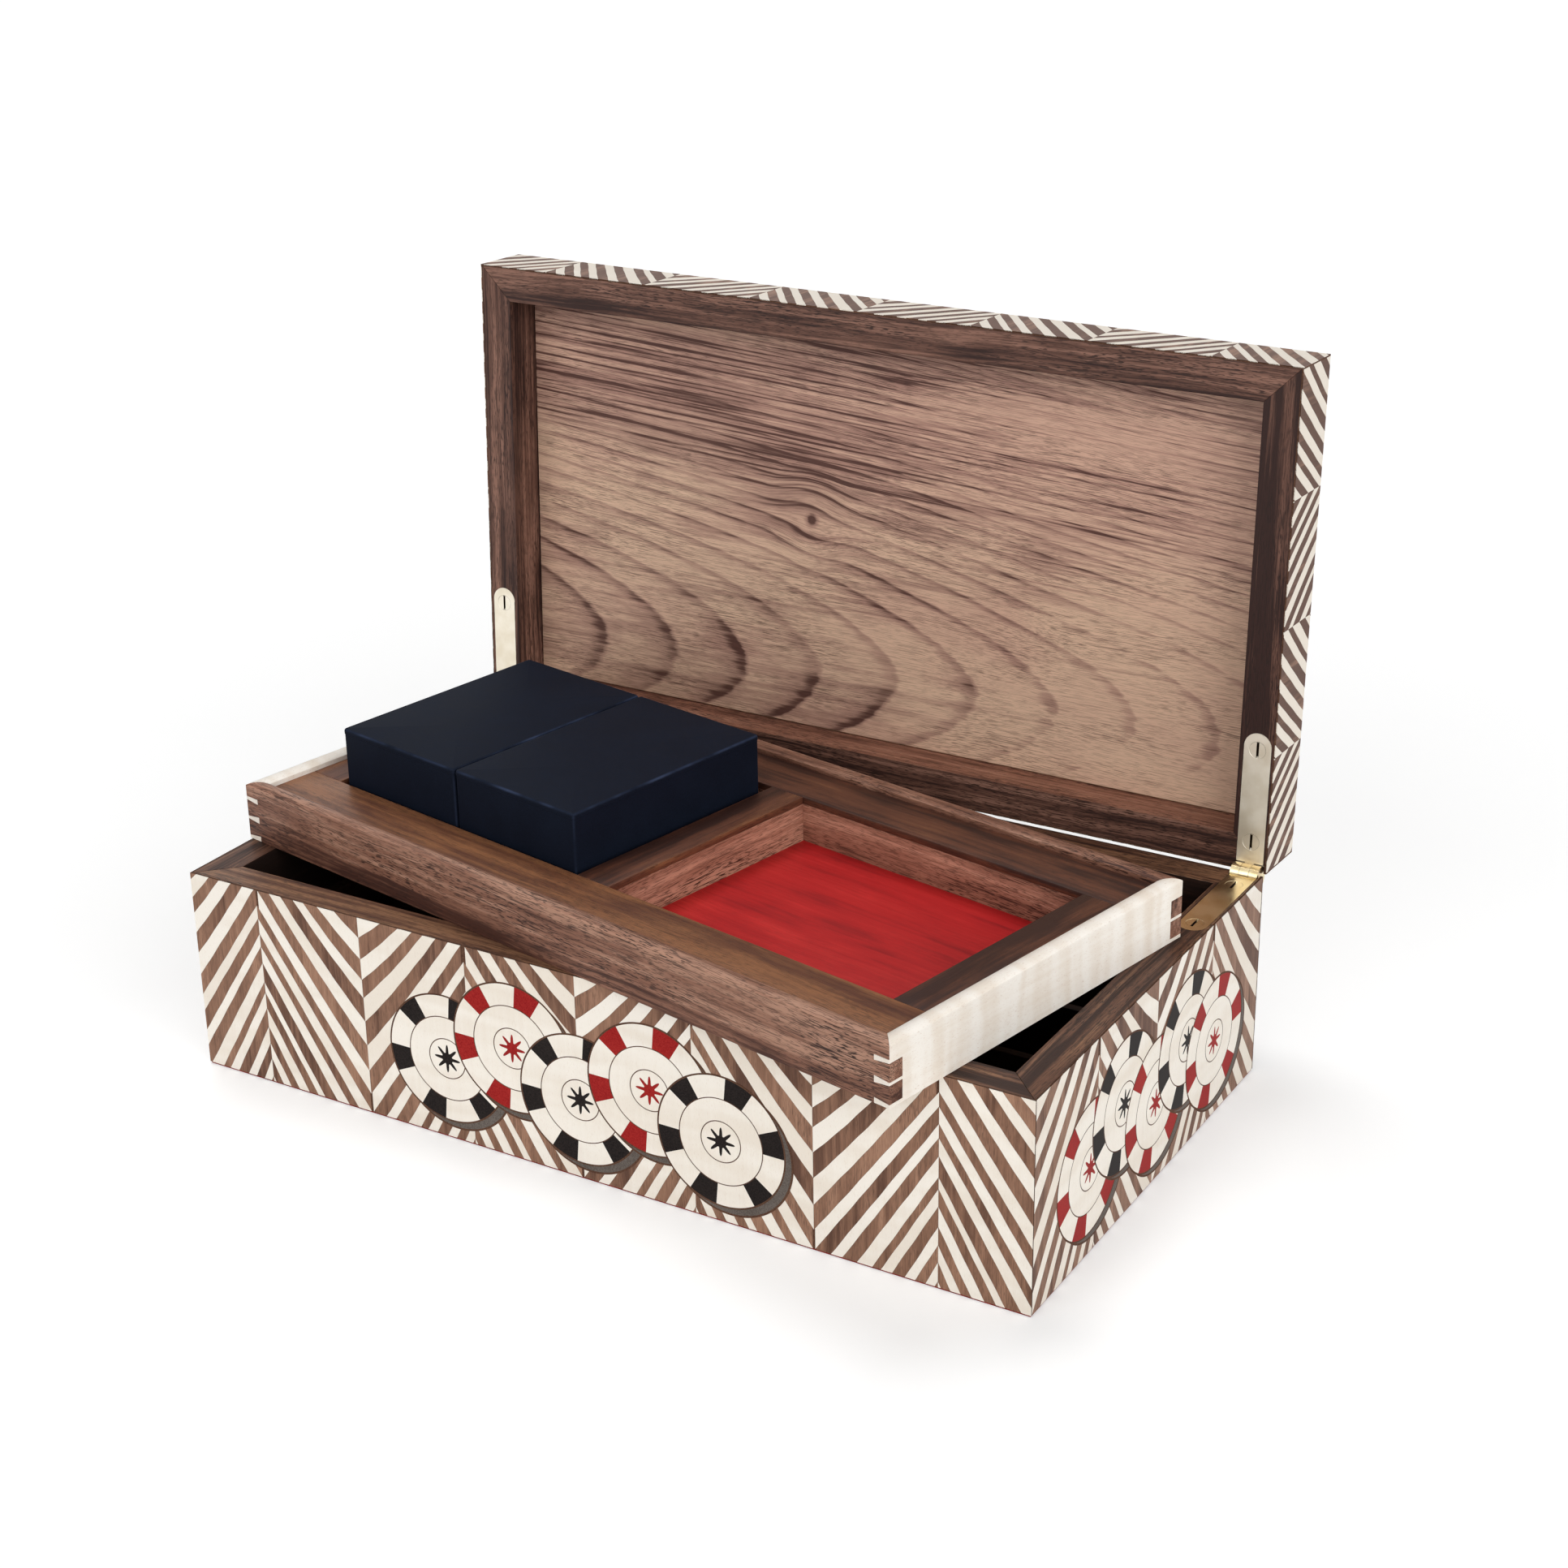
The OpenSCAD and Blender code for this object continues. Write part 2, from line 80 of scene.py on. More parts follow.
# Frames: the lid is worked on shut, and the tray square, and toRest puts them where they are at rest
def lidFrame():
    hinge = joints["lid_hinge"]
    pin = Matrix.Translation(hinge["pos_m"])
    swing = Matrix.Rotation(-math.radians(hinge["range_deg"][1]), 4, "X")
    return np.array(pin @ swing @ pin.inverted())


def trayFrame():
    # the tray's long direction is the main direction of its bottom's corners
    corners = np.unique(nodePoints("tray_bottom").round(6), axis=0)
    middle = corners[:, :2].mean(0)
    along = np.linalg.svd(corners[:, :2] - middle)[2][0]
    along = along * np.sign(along[0])
    place = Matrix.Translation((*middle, corners[:, 2].min()))
    return np.array(place @ Matrix.Rotation(math.atan2(along[1], along[0]), 4, "Z"))


bodyFrames = {"base": np.eye(4), "lid": lidFrame()}
for body in frame["bodies"]:
    bodyFrames.setdefault(body, trayFrame())


def toRest(body, points):
    return points @ bodyFrames[body][:3, :3].T + bodyFrames[body][:3, 3]


def toOwn(body, points):
    return (points - bodyFrames[body][:3, 3]) @ bodyFrames[body][:3, :3]


def ownBox(node):
    points = toOwn(nodeBody[node], nodePoints(node))
    return points.min(0), points.max(0)


def lookTable(keys, rows):
    # rows of values as dictionaries, a row may stop early
    return {name: dict(zip(keys.split(), row)) for name, row in rows.items()}


# Node helpers
def paint(red, green, blue):
    # a screen colour, 0 to 255, as the linear colour that a shader takes
    share = np.array([red, green, blue]) / 255
    linear = np.where(share <= 0.04045, share / 12.92, ((share + 0.055) / 1.055) ** 2.4)
    return (*linear.tolist(), 1.0)


def addNode(kind, inputs, tree=None, **settings):
    # a node in the given tree, or else in that of the sockets that feed it
    sockets = {key: value for key, value in inputs.items() if isinstance(value, bpy.types.NodeSocket)}
    tree = tree or next(iter(sockets.values())).id_data
    node = tree.nodes.new("ShaderNode" + kind)
    for key, value in settings.items():
        setattr(node, key, value)
    for key, value in inputs.items():
        if key in sockets:
            tree.links.new(value, node.inputs[key])
        else:
            node.inputs[key].default_value = value
    return node


def calc(operation, *values):
    return addNode("Math", dict(enumerate(values)), operation=operation).outputs[0]


def times(product, *others):
    for other in others:
        product = calc("MULTIPLY", product, other)
    return product


def weighted(first, share, second, otherShare):
    return calc("MULTIPLY_ADD", first, share, times(second, otherShare))


def remap(value, low, high, toLow=0.0, toHigh=1.0):
    inputs = {0: value, 1: low, 2: high, 3: toLow, 4: toHigh}
    return addNode("MapRange", inputs, interpolation_type="SMOOTHSTEP").outputs[0]


def mixColour(share, first, second, mode="MIX"):
    inputs = {0: share, 6: first, 7: second}
    return addNode("Mix", inputs, data_type="RGBA", blend_type=mode).outputs[2]


def stretch(vector, scale):
    return addNode("VectorMath", {0: vector, 1: scale}, operation="MULTIPLY").outputs[0]


def noise(vector, scale, detail=2.0):
    inputs = {"Vector": stretch(vector, scale), "Scale": 1.0, "Detail": detail}
    return addNode("TexNoise", inputs).outputs[0]


def bendGrain(vector, scale, reach):
    # the vector moved by a slow noise, as far as reach in each direction
    drift = addNode("TexNoise", {"Vector": stretch(vector, scale), "Scale": 1.0}).outputs[1]
    return addNode("VectorMath", {0: drift, 1: reach, 2: vector}, operation="MULTIPLY_ADD").outputs[0]


def grainScale(along, across):
    return addNode("CombineXYZ", {0: along, 1: across, 2: across}).outputs[0]


def newGroup(name, takes, gives):
    group = bpy.data.node_groups.new(name, "ShaderNodeTree")
    for way, sockets in (("INPUT", takes), ("OUTPUT", gives)):
        for label, kind in sockets.items():
            group.interface.new_socket(label, in_out=way, socket_type="NodeSocket" + kind)
    return group, group.nodes.new("NodeGroupInput").outputs, group.nodes.new("NodeGroupOutput").inputs


def useGroup(group, **inputs):
    return addNode("Group", inputs, node_tree=group).outputs


def attribute(tree, name, output="Vector"):
    return addNode("Attribute", {}, tree, attribute_name=name).outputs[output]


def objectPlace(tree):
    return addNode("TexCoord", {}, tree).outputs["Object"]


def newMaterial(name):
    material = bpy.data.materials.new(name)
    material.use_nodes = True
    material.node_tree.nodes.clear()
    return material, material.node_tree


def surface(colour, roughness, height, strength, distance, shine=0.5, metallic=0.0):
    bump = {"Strength": strength, "Distance": distance * mm, "Height": height}
    relief = addNode("Bump", bump).outputs[0]
    inputs = {"Base Color": colour, "Roughness": roughness, "Normal": relief,
              "Specular IOR Level": shine, "Metallic": metallic}
    shader = addNode("BsdfPrincipled", inputs)
    addNode("OutputMaterial", {"Surface": shader.outputs[0]})


# Wood grain: bands, blotches and streaks drawn out along the first grain direction, with short dark pores
grainLook = dict(drift=(7, 22, 22), driftReach=(0, 0.008, 0.008), bandLength=2.2, blotches=(30, 150, 150),
                 blotchGain=0.8, streaks=(8, 520, 520), poreAcross=3300, shortPores=260, longPores=75,
                 shortRange=(0.53, 0.64), longRange=(0.55, 0.66), crowds=(14, 70, 70),
                 crowdRange=(0.36, 0.62, 0.5, 1.0), darkRange=(0.10, 0.52), paleRange=(0.48, 0.95),
                 poreDepth=0.55, poreColour=(0.01, 0.006, 0.005, 1), streakRelief=0.35,
                 dullness=(0.06, -0.06))
woodGives = dict(Color="Color", Height="Float", Roughness="Float")


def makeWoodGroup(look):
    takes = dict(Grain="Vector", Tone="Float", Pale="Color", Mid="Color", Dark="Color", Bands="Float",
                 Contrast="Float", Streak="Float", Pores="Float", PoreSize="Float", PoreLength="Float")
    group, ins, outs = newGroup("woodGrain", takes, woodGives)
    bent = bendGrain(ins["Grain"], look["drift"], look["driftReach"])
    bands = noise(bent, grainScale(look["bandLength"], ins["Bands"]), 3.0)
    blotches = noise(bent, look["blotches"])
    streaks = noise(bent, look["streaks"], 4.0)
    across = calc("DIVIDE", look["poreAcross"], ins["PoreSize"])
    poreKinds = []
    for kind in ("short", "long"):
        along = calc("DIVIDE", look[kind + "Pores"], ins["PoreLength"])
        specks = noise(bent, grainScale(along, across), 1.0)
        poreKinds.append(remap(specks, *look[kind + "Range"]))
    crowd = remap(noise(bent, look["crowds"]), *look["crowdRange"])
    poreShare = times(calc("MAXIMUM", *poreKinds), crowd, ins["Pores"])
    level = calc("ADD", ins["Tone"], 0.5)
    gains = ((bands, ins["Contrast"]), (streaks, ins["Streak"]), (blotches, look["blotchGain"]))
    for part, gain in gains:
        level = calc("MULTIPLY_ADD", calc("SUBTRACT", part, 0.5), gain, level)
    low = mixColour(remap(level, *look["darkRange"]), ins["Dark"], ins["Mid"])
    high = mixColour(remap(level, *look["paleRange"]), low, ins["Pale"])
    poreColour = mixColour(look["poreDepth"], ins["Dark"], look["poreColour"])
    height = calc("SUBTRACT", times(streaks, look["streakRelief"]), poreShare)
    group.links.new(mixColour(poreShare, high, poreColour), outs["Color"])
    group.links.new(height, outs["Height"])
    group.links.new(remap(level, 0.0, 1.0, *look["dullness"]), outs["Roughness"])
    return group


# Ripple: pale wood with soft bands across the grain and fine flecks along it
rippleLook = dict(drift=(30, 30, 30), driftReach=(0.012, 0, 0), ripple=(130, 10, 10), rippleShare=0.75,
                  lines=(12, 520, 520), lineShare=0.25, flecks=(700, 3200, 3200), fleckRange=(0.60, 0.74),
                  paleRange=(0.30, 0.68), lineRelief=0.5, dullness=(0.2, 0.8, 0.05, -0.05))


def makeRippleGroup(look):
    takes = dict(Grain="Vector", Tone="Float", Pale="Color", Mid="Color", Fleck="Color", Flecks="Float")
    group, ins, outs = newGroup("rippleGrain", takes, woodGives)
    bent = bendGrain(ins["Grain"], look["drift"], look["driftReach"])
    ripple = noise(bent, look["ripple"], 1.0)
    lines = noise(ins["Grain"], look["lines"])
    flecks = remap(noise(ins["Grain"], look["flecks"], 1.0), *look["fleckRange"])
    level = weighted(ripple, look["rippleShare"], lines, look["lineShare"])
    level = calc("ADD", level, ins["Tone"])
    plain = mixColour(remap(level, *look["paleRange"]), ins["Mid"], ins["Pale"])
    colour = mixColour(times(flecks, ins["Flecks"]), plain, ins["Fleck"])
    group.links.new(colour, outs["Color"])
    group.links.new(times(lines, look["lineRelief"]), outs["Height"])
    group.links.new(remap(ripple, *look["dullness"]), outs["Roughness"])
    return group


# Fibres: a fine random nap, used on baize, paper and card
fibreLook = dict(nap=2600, napShare=0.7, cloud=(60, 60, 60), cloudShare=0.3)


def makeFibreGroup(look):
    takes = dict(Place="Vector", Fineness="Float")
    group, ins, outs = newGroup("fibres", takes, dict(Fac="Float", Height="Float"))
    fine = times(look["nap"], ins["Fineness"])
    nap = noise(ins["Place"], grainScale(fine, fine))
    cloud = noise(ins["Place"], look["cloud"], 3.0)
    group.links.new(weighted(nap, look["napShare"], cloud, look["cloudShare"]), outs["Fac"])
    group.links.new(nap, outs["Height"])
    return group


woodGroup = makeWoodGroup(grainLook)
rippleGroup = makeRippleGroup(rippleLook)
fibreGroup = makeFibreGroup(fibreLook)

walnutLooks = lookTable("pale mid dark bands contrast streak pores poreSize gloss", {
    "rimWalnut": ((140, 103, 88), (99, 69, 58), (48, 29, 25), 110, 2.6, 2.0, 0.9, 1.3, 0.46),
    "baseWalnut": ((140, 102, 76), (98, 66, 50), (46, 27, 20), 110, 2.6, 2.0, 0.95, 1.3, 0.46),
    "trayWalnut": ((176, 134, 112), (132, 91, 73), (68, 39, 30), 60, 1.8, 1.2, 1.0, 1.4, 0.5),
    "topWalnut": ((146, 98, 66), (96, 58, 42), (48, 27, 21), 60, 1.6, 0.7, 0.6, 0.9, 0.42),
    "wellWalnut": ((194, 144, 120), (156, 108, 88), (84, 50, 39), 60, 1.2, 1.0, 1.0, 1.2, 0.55),
    # painted shade: walnut darkened for the shade inside the base
    "insideWalnut": ((62, 41, 33), (45, 29, 23), (28, 17, 13), 70, 1.6, 1.2, 0.5, 0.9, 0.55),
    "stripWalnut": ((166, 126, 102), (139, 102, 81), (92, 62, 48), 110, 1.0, 0.9, 0.5, 0.9, 0.46),
    "redStain": ((206, 46, 45), (183, 30, 33), (142, 18, 24), 60, 0.9, 0.6, 0.22, 0.8, 0.5),
    "plywood": ((206, 176, 138), (184, 150, 112), (150, 116, 82), 40, 1.8, 1.0, 0.35, 1.0, 0.6),
})
oiled = 0.2   # specular level of oiled or waxed wood


def woodInputs(tree, look):
    # grain and tone of the piece, and the look's colours and values under the names of a group's sockets
    inputs = {key[0].upper() + key[1:]: paint(*value) if isinstance(value, tuple) else value
              for key, value in look.items() if key != "gloss"}
    return dict(inputs, Grain=attribute(tree, "grain"), Tone=attribute(tree, "tone", "Fac"))


def woodSurface(wood, colour, gloss, strength, distance):
    surface(colour, calc("ADD", wood["Roughness"], gloss), wood["Height"], strength, distance, oiled)


def makeWalnut(tree, look):
    wood = useGroup(woodGroup, PoreLength=1.0, **woodInputs(tree, look))
    woodSurface(wood, wood["Color"], look["gloss"], 0.25, 0.15)


sycamoreLooks = lookTable("pale mid fleck flecks gloss", {
    "sycamoreEnd": ((250, 244, 235), (235, 223, 208), (206, 180, 160), 0.4, 0.45),
    "stripSycamore": ((247, 240, 229), (238, 228, 214), (214, 194, 172), 0.25, 0.42),
})


def makeSycamore(tree, look):
    wood = useGroup(rippleGroup, **woodInputs(tree, look))
    woodSurface(wood, wood["Color"], look["gloss"], 0.15, 0.1)


# Lid panel: growth rings follow x + bow (height above an axis)^2, so they run as arches that point right low
# down and as long slants higher up, and bulge round a small knot. Dark dashes crowd its upper part
panelLook = dict(pale=(218, 184, 157), mid=(180, 145, 126), dark=(92, 64, 55), mauve=(0.86, 0.78, 0.82, 1),
                 ringEvery=0.0375, bowSpan=(0.15, 0.34), bow=(38.0, 48.0), axis=0.021, tilt=0.03,
                 drift=(9, 20, 1), wander=0.016, shiver=(45, 260, 1), ragged=0.006, knot=(0.143, 0.093),
                 knotSize=0.0046, knotReach=0.026, knotBulge=0.6, knotShade=0.9, slowStart=0.25,
                 fastStart=0.66, fastShare=0.6, darkest=0.90, upperTilt=0.086,
                 ringShade=(0.04, 0.12, 0.56, 0.34), upperWander=0.06, upperSpan=(0.090, 0.150),
                 upperMauve=0.95, patches=(10, 26, 1), patchShade=(0.34, 0.66, 0.6, 1.2),
                 patchMauve=(0.40, 0.66, 0.1, 0.7), slant=(0.03, 0.10, 0.0, 0.05), dashes=(9, 800, 1),
                 dashRange=(0.48, 0.66), dashShare=0.8, crowds=(4, 80, 1), crowdRange=(0.26, 0.52),
                 softDashes=(5, 110, 1), softRange=(0.44, 0.70), softShare=0.5,
                 dashGain=(0.0, 1.0, 0.16, 0.8), lights=(5, 16, 1), lightRange=(0.34, 0.66, 0.2, 0.5),
                 rightLight=(0.10, 0.34, 0.0, 0.42), rightFade=(0.0, 1.0, 1.0, 0.35), gloss=0.5)


def makePanel(tree, look):
    place = attribute(tree, "grain")
    x, y, _ = addNode("SeparateXYZ", {0: place}).outputs
    knot = {0: place, 1: (*look["knot"], 0)}
    offset = addNode("VectorMath", knot, operation="DISTANCE").outputs[1]
    bulge = remap(offset, look["knotReach"], 0.0, 0.0, look["knotBulge"])
    lifted = times(calc("SUBTRACT", y, look["knot"][1]), bulge)
    height = calc("SUBTRACT", y, lifted)
    axis = calc("MULTIPLY_ADD", x, look["tilt"], look["axis"])
    rise = calc("SUBTRACT", height, axis)
    drift = calc("SUBTRACT", noise(place, look["drift"], 1.0), 0.5)
    shiver = calc("SUBTRACT", noise(place, look["shiver"]), 0.5)
    bow = remap(x, *look["bowSpan"], *look["bow"])
    ring = calc("MULTIPLY_ADD", times(rise, rise), bow, x)
    ring = calc("MULTIPLY_ADD", drift, look["wander"], ring)
    ring = calc("MULTIPLY_ADD", shiver, look["ragged"], ring)
    # a ring darkens slowly, then faster, and ends at once
    turn = calc("FRACT", calc("DIVIDE", ring, look["ringEvery"]))
    slowly = remap(turn, look["slowStart"], look["darkest"], 0.0, 1 - look["fastShare"])
    faster = remap(turn, look["fastStart"], look["darkest"])
    ramp = calc("MULTIPLY_ADD", faster, look["fastShare"], slowly)
    late = times(ramp, remap(turn, 1.0, look["darkest"]))
    wavy = calc("MULTIPLY_ADD", drift, look["upperWander"], y)
    upper = remap(calc("MULTIPLY_ADD", x, look["upperTilt"], wavy), *look["upperSpan"])
    patches = noise(place, look["patches"])
    line = times(late, remap(patches, *look["patchShade"]), remap(rise, *look["ringShade"]))
    # the grain runs along the rings high up, and level low down
    slant = times(x, remap(y, *look["slant"]))
    grain = addNode("CombineXYZ", {0: x, 1: calc("ADD", height, slant)}).outputs[0]
    dashes = remap(noise(grain, look["dashes"], 3.0), *look["dashRange"])
    crowd = remap(noise(grain, look["crowds"]), *look["crowdRange"])
    soft = remap(noise(grain, look["softDashes"], 3.0), *look["softRange"])
    dash = weighted(dashes, times(crowd, look["dashShare"]), soft, look["softShare"])
    dash = times(dash, remap(upper, *look["dashGain"]))
    light = remap(noise(place, look["lights"]), *look["lightRange"])
    rightFade = remap(upper, *look["rightFade"])
    tone = calc("MULTIPLY_ADD", remap(x, *look["rightLight"]), rightFade, light)
    for shade in (line, dash, remap(offset, look["knotSize"], 0.0, 0.0, look["knotShade"])):
        tone = calc("SUBTRACT", tone, shade)
    colours = {key.title(): paint(*look[key]) for key in ("pale", "mid", "dark")}
    wood = useGroup(woodGroup, Grain=grain, Tone=tone, Bands=300.0, Contrast=0.5, Streak=0.7, Pores=0.65,
                    PoreSize=0.8, PoreLength=1.7, **colours)
    mauve = calc("MAXIMUM", times(upper, look["upperMauve"]), remap(patches, *look["patchMauve"]))
    colour = mixColour(mauve, wood["Color"], look["mauve"], "MULTIPLY")
    woodSurface(wood, colour, look["gloss"], 0.2, 0.12)


clothLooks = lookTable("pale dark fineness rough bump worn", {
    "redBaize": ((150, 34, 36), (98, 16, 20), 0.5, 0.95, 0.6),
    # painted shade: a black cloth for the deep shade inside the base
    "blackBaize": ((34, 33, 34), (14, 14, 15), 0.5, 0.95, 0.6),
    # the last colour is a lighter blue for the cover's edges: scuffed wear and a painted sheen
    "navyPaper": ((20, 26, 39), (13, 17, 27), 1.0, 0.6, 0.18, (56, 66, 90)),
    "tubPaper": ((236, 231, 220), (214, 207, 193), 1.0, 0.75, 0.15),
    "glueLine": ((104, 76, 60), (74, 50, 40), 0.6, 0.6, 0.2),
    "inlayRed": ((168, 44, 40), (138, 26, 28), 0.7, 0.42, 0.1),
    "inlayBlack": ((44, 38, 36), (26, 22, 22), 0.7, 0.42, 0.1),
    "inlayGrey": ((112, 104, 98), (84, 76, 70), 0.7, 0.42, 0.1),
})
matt = 0.04   # specular level of cloth and paper
scuffLook = dict(patches=(70, 70, 70), span=(0.25, 0.85))


def makeFibre(tree, look):
    place = objectPlace(tree)
    nap = useGroup(fibreGroup, Place=place, Fineness=look["fineness"])
    colour = mixColour(remap(nap["Fac"], 0.3, 0.7), paint(*look["dark"]), paint(*look["pale"]))
    # a lighter blue along the edges: scuffed wear and a painted sheen
    if "worn" in look:
        scuffs = remap(noise(place, scuffLook["patches"]), *scuffLook["span"])
        worn = times(scuffs, attribute(tree, "wear", "Fac"))
        colour = mixColour(worn, colour, paint(*look["worn"]))
    roughness = remap(nap["Fac"], 0.3, 0.7, look["rough"] - 0.05, look["rough"] + 0.05)
    surface(colour, roughness, nap["Height"], look["bump"], 0.12, matt)


# Cards: the edges of a pack show as fine level lines
cardLook = dict(pale=(240, 237, 230), dark=(178, 172, 162), rows=(8, 8, 3200), rough=(0.3, 0.7, 0.45, 0.6))


def makeCards(tree, look):
    rows = noise(attribute(tree, "grain"), look["rows"], 1.0)
    colour = mixColour(remap(rows, 0.35, 0.65), paint(*look["dark"]), paint(*look["pale"]))
    surface(colour, remap(rows, *look["rough"]), rows, 0.3, 0.1)


# Brass: brushed lines and clouds of wear make its gloss uneven round a mean
brassLooks = lookTable("pale deep rough", {
    "brass": ((232, 225, 210), (220, 210, 190), 0.48),
    # smoother brass painted golden: a painted reflection of the wood round it
    "polishAndReflection": ((232, 214, 172), (214, 190, 142), 0.22),
    # dark brass for eased edges and slots: painted shade of the gaps and slots, with some tarnish
    "tarnishAndShade": ((50, 40, 28), (30, 23, 16), 0.62),
})
brassWear = dict(lines=(4000, 60, 4000), lineShare=0.08, clouds=(120, 120, 120), cloudShare=0.10, mean=0.09)


def makeBrass(tree, look):
    place = objectPlace(tree)
    lines = noise(place, brassWear["lines"])
    clouds = noise(place, brassWear["clouds"], 3.0)
    colour = mixColour(remap(clouds, 0.3, 0.7), paint(*look["deep"]), paint(*look["pale"]))
    wear = weighted(lines, brassWear["lineShare"], clouds, brassWear["cloudShare"])
    roughness = calc("ADD", wear, look["rough"] - brassWear["mean"])
    surface(colour, roughness, lines, 0.04, 0.02, metallic=1.0)


makers = ((makeWalnut, walnutLooks), (makeSycamore, sycamoreLooks), (makePanel, {"panelWalnut": panelLook}),
          (makeFibre, clothLooks), (makeCards, {"cards": cardLook}), (makeBrass, brassLooks))
materials = {}
for maker, looks in makers:
    for name, look in looks.items():
        materials[name], tree = newMaterial(name)
        maker(tree, look)
print("materials:", len(materials))

# Piece helpers
grainOrder = {"x": (0, 1, 2), "y": (1, 0, 2)}
meshLook = dict(merge=0.002, flat=0.5, sharp=30, paperSharp=40, bend=25, bevelSteps=2)


def gridQuads(rows, columns):
    # faces of a rows x columns grid of points, joined round in the second direction
    ids = np.arange(rows * columns).reshape(rows, columns)
    ids = np.concatenate([ids, ids[:, :1]], axis=1)
    return np.stack([ids[:-1, :-1], ids[:-1, 1:], ids[1:, 1:], ids[1:, :-1]], axis=-1).reshape(-1, 4)


def setAttribute(mesh, name, values):
    kind, field = ("FLOAT_VECTOR", "vector") if values.ndim == 2 else ("FLOAT", "value")
    mesh.attributes.new(name, kind, "POINT").data.foreach_set(field, values.astype(np.float32).ravel())


def setKinds(mesh, kinds):
    mesh.polygons.foreach_set("material_index", kinds.astype(np.int32))


def newMesh(name, points, faces, *finishes):
    mesh = bpy.data.meshes.new(name)
    mesh.from_pydata(points.tolist(), [], faces)
    for finish in finishes:
        mesh.materials.append(materials[finish])
    return mesh


def turnOutward(mesh, merge=None, flatten=False):
    # merges doubles, closes poles and turns every shell outwards
    work = bmesh.new()
    work.from_mesh(mesh)
    if merge:
        bmesh.ops.remove_doubles(work, verts=work.verts, dist=merge * mm)
        bmesh.ops.dissolve_degenerate(work, edges=work.edges, dist=merge * mm / 2)
    if flatten:
        limit = math.radians(meshLook["flat"])
        bmesh.ops.dissolve_limit(work, angle_limit=limit, verts=work.verts, edges=work.edges)
    bmesh.ops.recalc_face_normals(work, faces=work.faces)
    work.to_mesh(mesh)
    work.free()


def addPiece(name, mesh, body, stands, sharp=meshLook["sharp"]):
    mesh.shade_smooth()
    mesh.set_sharp_from_angle(angle=math.radians(sharp))
    piece = bpy.data.objects.new(name, mesh)
    scene.collection.objects.link(piece)
    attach(piece, body)
    if stands:
        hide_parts(*stands)
    return piece


def finishNode(node, mesh, sharp=meshLook["sharp"]):
    return addPiece(node + "_finish", mesh, nodeBody[node], [node], sharp)


def woodSpace(mesh, node, along, tone=0.0):
    # grain coordinates: the piece's own place, grain first, started elsewhere in the wood for each piece
    start = (sum(map(ord, node)) % 83) * np.array([0.31, 0.17, 0.23])
    own = toOwn(nodeBody[node], readAll(mesh.vertices, "co"))
    setAttribute(mesh, "grain", own[:, grainOrder[along]] + start)
    setAttribute(mesh, "tone", np.full(len(mesh.vertices), tone))


def mergedNode(node, points):
    # a CAD node's points with doubles merged, and its triangles by their new numbers
    merged, index = np.unique(points.round(7), axis=0, return_inverse=True)
    corners = readAll(nodes[node].data.loops, "vertex_index", 1, int).ravel()
    return merged, index.ravel()[corners].reshape(-1, 3)


def easedCopy(node, finish, along="x", ease=0.3, shortest=2.0, tone=0.0):
    # a merged copy of a CAD node with its long sharp edges eased
    points, triangles = mergedNode(node, nodePoints(node))
    mesh = newMesh(node + "_finish", points, triangles.tolist(), finish)
    turnOutward(mesh, meshLook["merge"], flatten=True)
    work = bmesh.new()
    work.from_mesh(mesh)
    weight = work.edges.layers.float.new("bevel_weight_edge")
    for edge in work.edges:
        bends = len(edge.link_faces) == 2 and edge.calc_face_angle() > math.radians(meshLook["bend"])
        edge[weight] = float(bends and edge.calc_length() > shortest * mm)
    work.to_mesh(mesh)
    work.free()
    woodSpace(mesh, node, along, tone)
    piece = finishNode(node, mesh)
    bevel = piece.modifiers.new("ease", "BEVEL")
    bevel.limit_method = "WEIGHT"
    bevel.width = ease * mm
    bevel.segments = meshLook["bevelSteps"]
    bevel.use_clamp_overlap = True
    bevel.harden_normals = True
    return piece


def outline(half, radius, steps):
    # a rectangle's outline with round corners: each corner's centre plus radius times (cos, sin) of its turn
    corner = np.repeat(np.arange(4), steps + 1)
    angle = np.radians(np.tile(np.linspace(0, 90, steps + 1), 4) + 90 * corner)
    sign = np.array([[1, 1], [-1, 1], [-1, -1], [1, -1]])[corner]
    circle = np.stack([np.cos(angle), np.sin(angle)], -1)
    return sign * (half - radius)[..., None, :] + radius[..., None, :] * circle


def profileBox(low, high, corner, profile, steps=4):
    # a closed box: a profile of (inset, height) steps carried round the outline, drawn in at both ends
    half = (high[:2] - low[:2]) / 2
    inset = np.minimum(profile[:, :1], half.min())
    radius = np.clip(corner - inset, 0, None) * np.ones(2)
    ring = outline(half - inset, radius, steps)
    height = np.broadcast_to(profile[:, 1][:, None, None], (*ring.shape[:2], 1))
    points = np.concatenate([ring + (low[:2] + high[:2]) / 2, height], -1)
    return points.reshape(-1, 3), gridQuads(*ring.shape[:2])


def easedProfile(low, high, ease):
    # bottom middle, round lower edge, round upper edge, top middle
    quarter = np.radians(np.linspace(0, 90, 4))
    lower = np.stack([ease * (1 - np.sin(quarter)), low + ease * (1 - np.cos(quarter))], -1)
    upper = np.stack([ease * (1 - np.cos(quarter)), high - ease * (1 - np.sin(quarter))], -1)
    return np.concatenate([[[1.0, low]], lower, upper, [[1.0, high]]])


def closedMesh(node, points, faces, finish):
    # a closed mesh from points of the body's own frame
    mesh = newMesh(node + "_finish", toRest(nodeBody[node], points), faces.tolist(), finish)
    turnOutward(mesh, meshLook["merge"])
    return mesh


def slab(node, finish, along="x", ease=0.25, tone=0.0):
    # a plain board with round edges in its CAD node's place
    low, high = ownBox(node)
    ease = min(ease * mm, 0.3 * (high - low).min())
    mesh = closedMesh(node, *profileBox(low, high, ease, easedProfile(low[2], high[2], ease)), finish)
    woodSpace(mesh, node, along, tone)
    return finishNode(node, mesh)


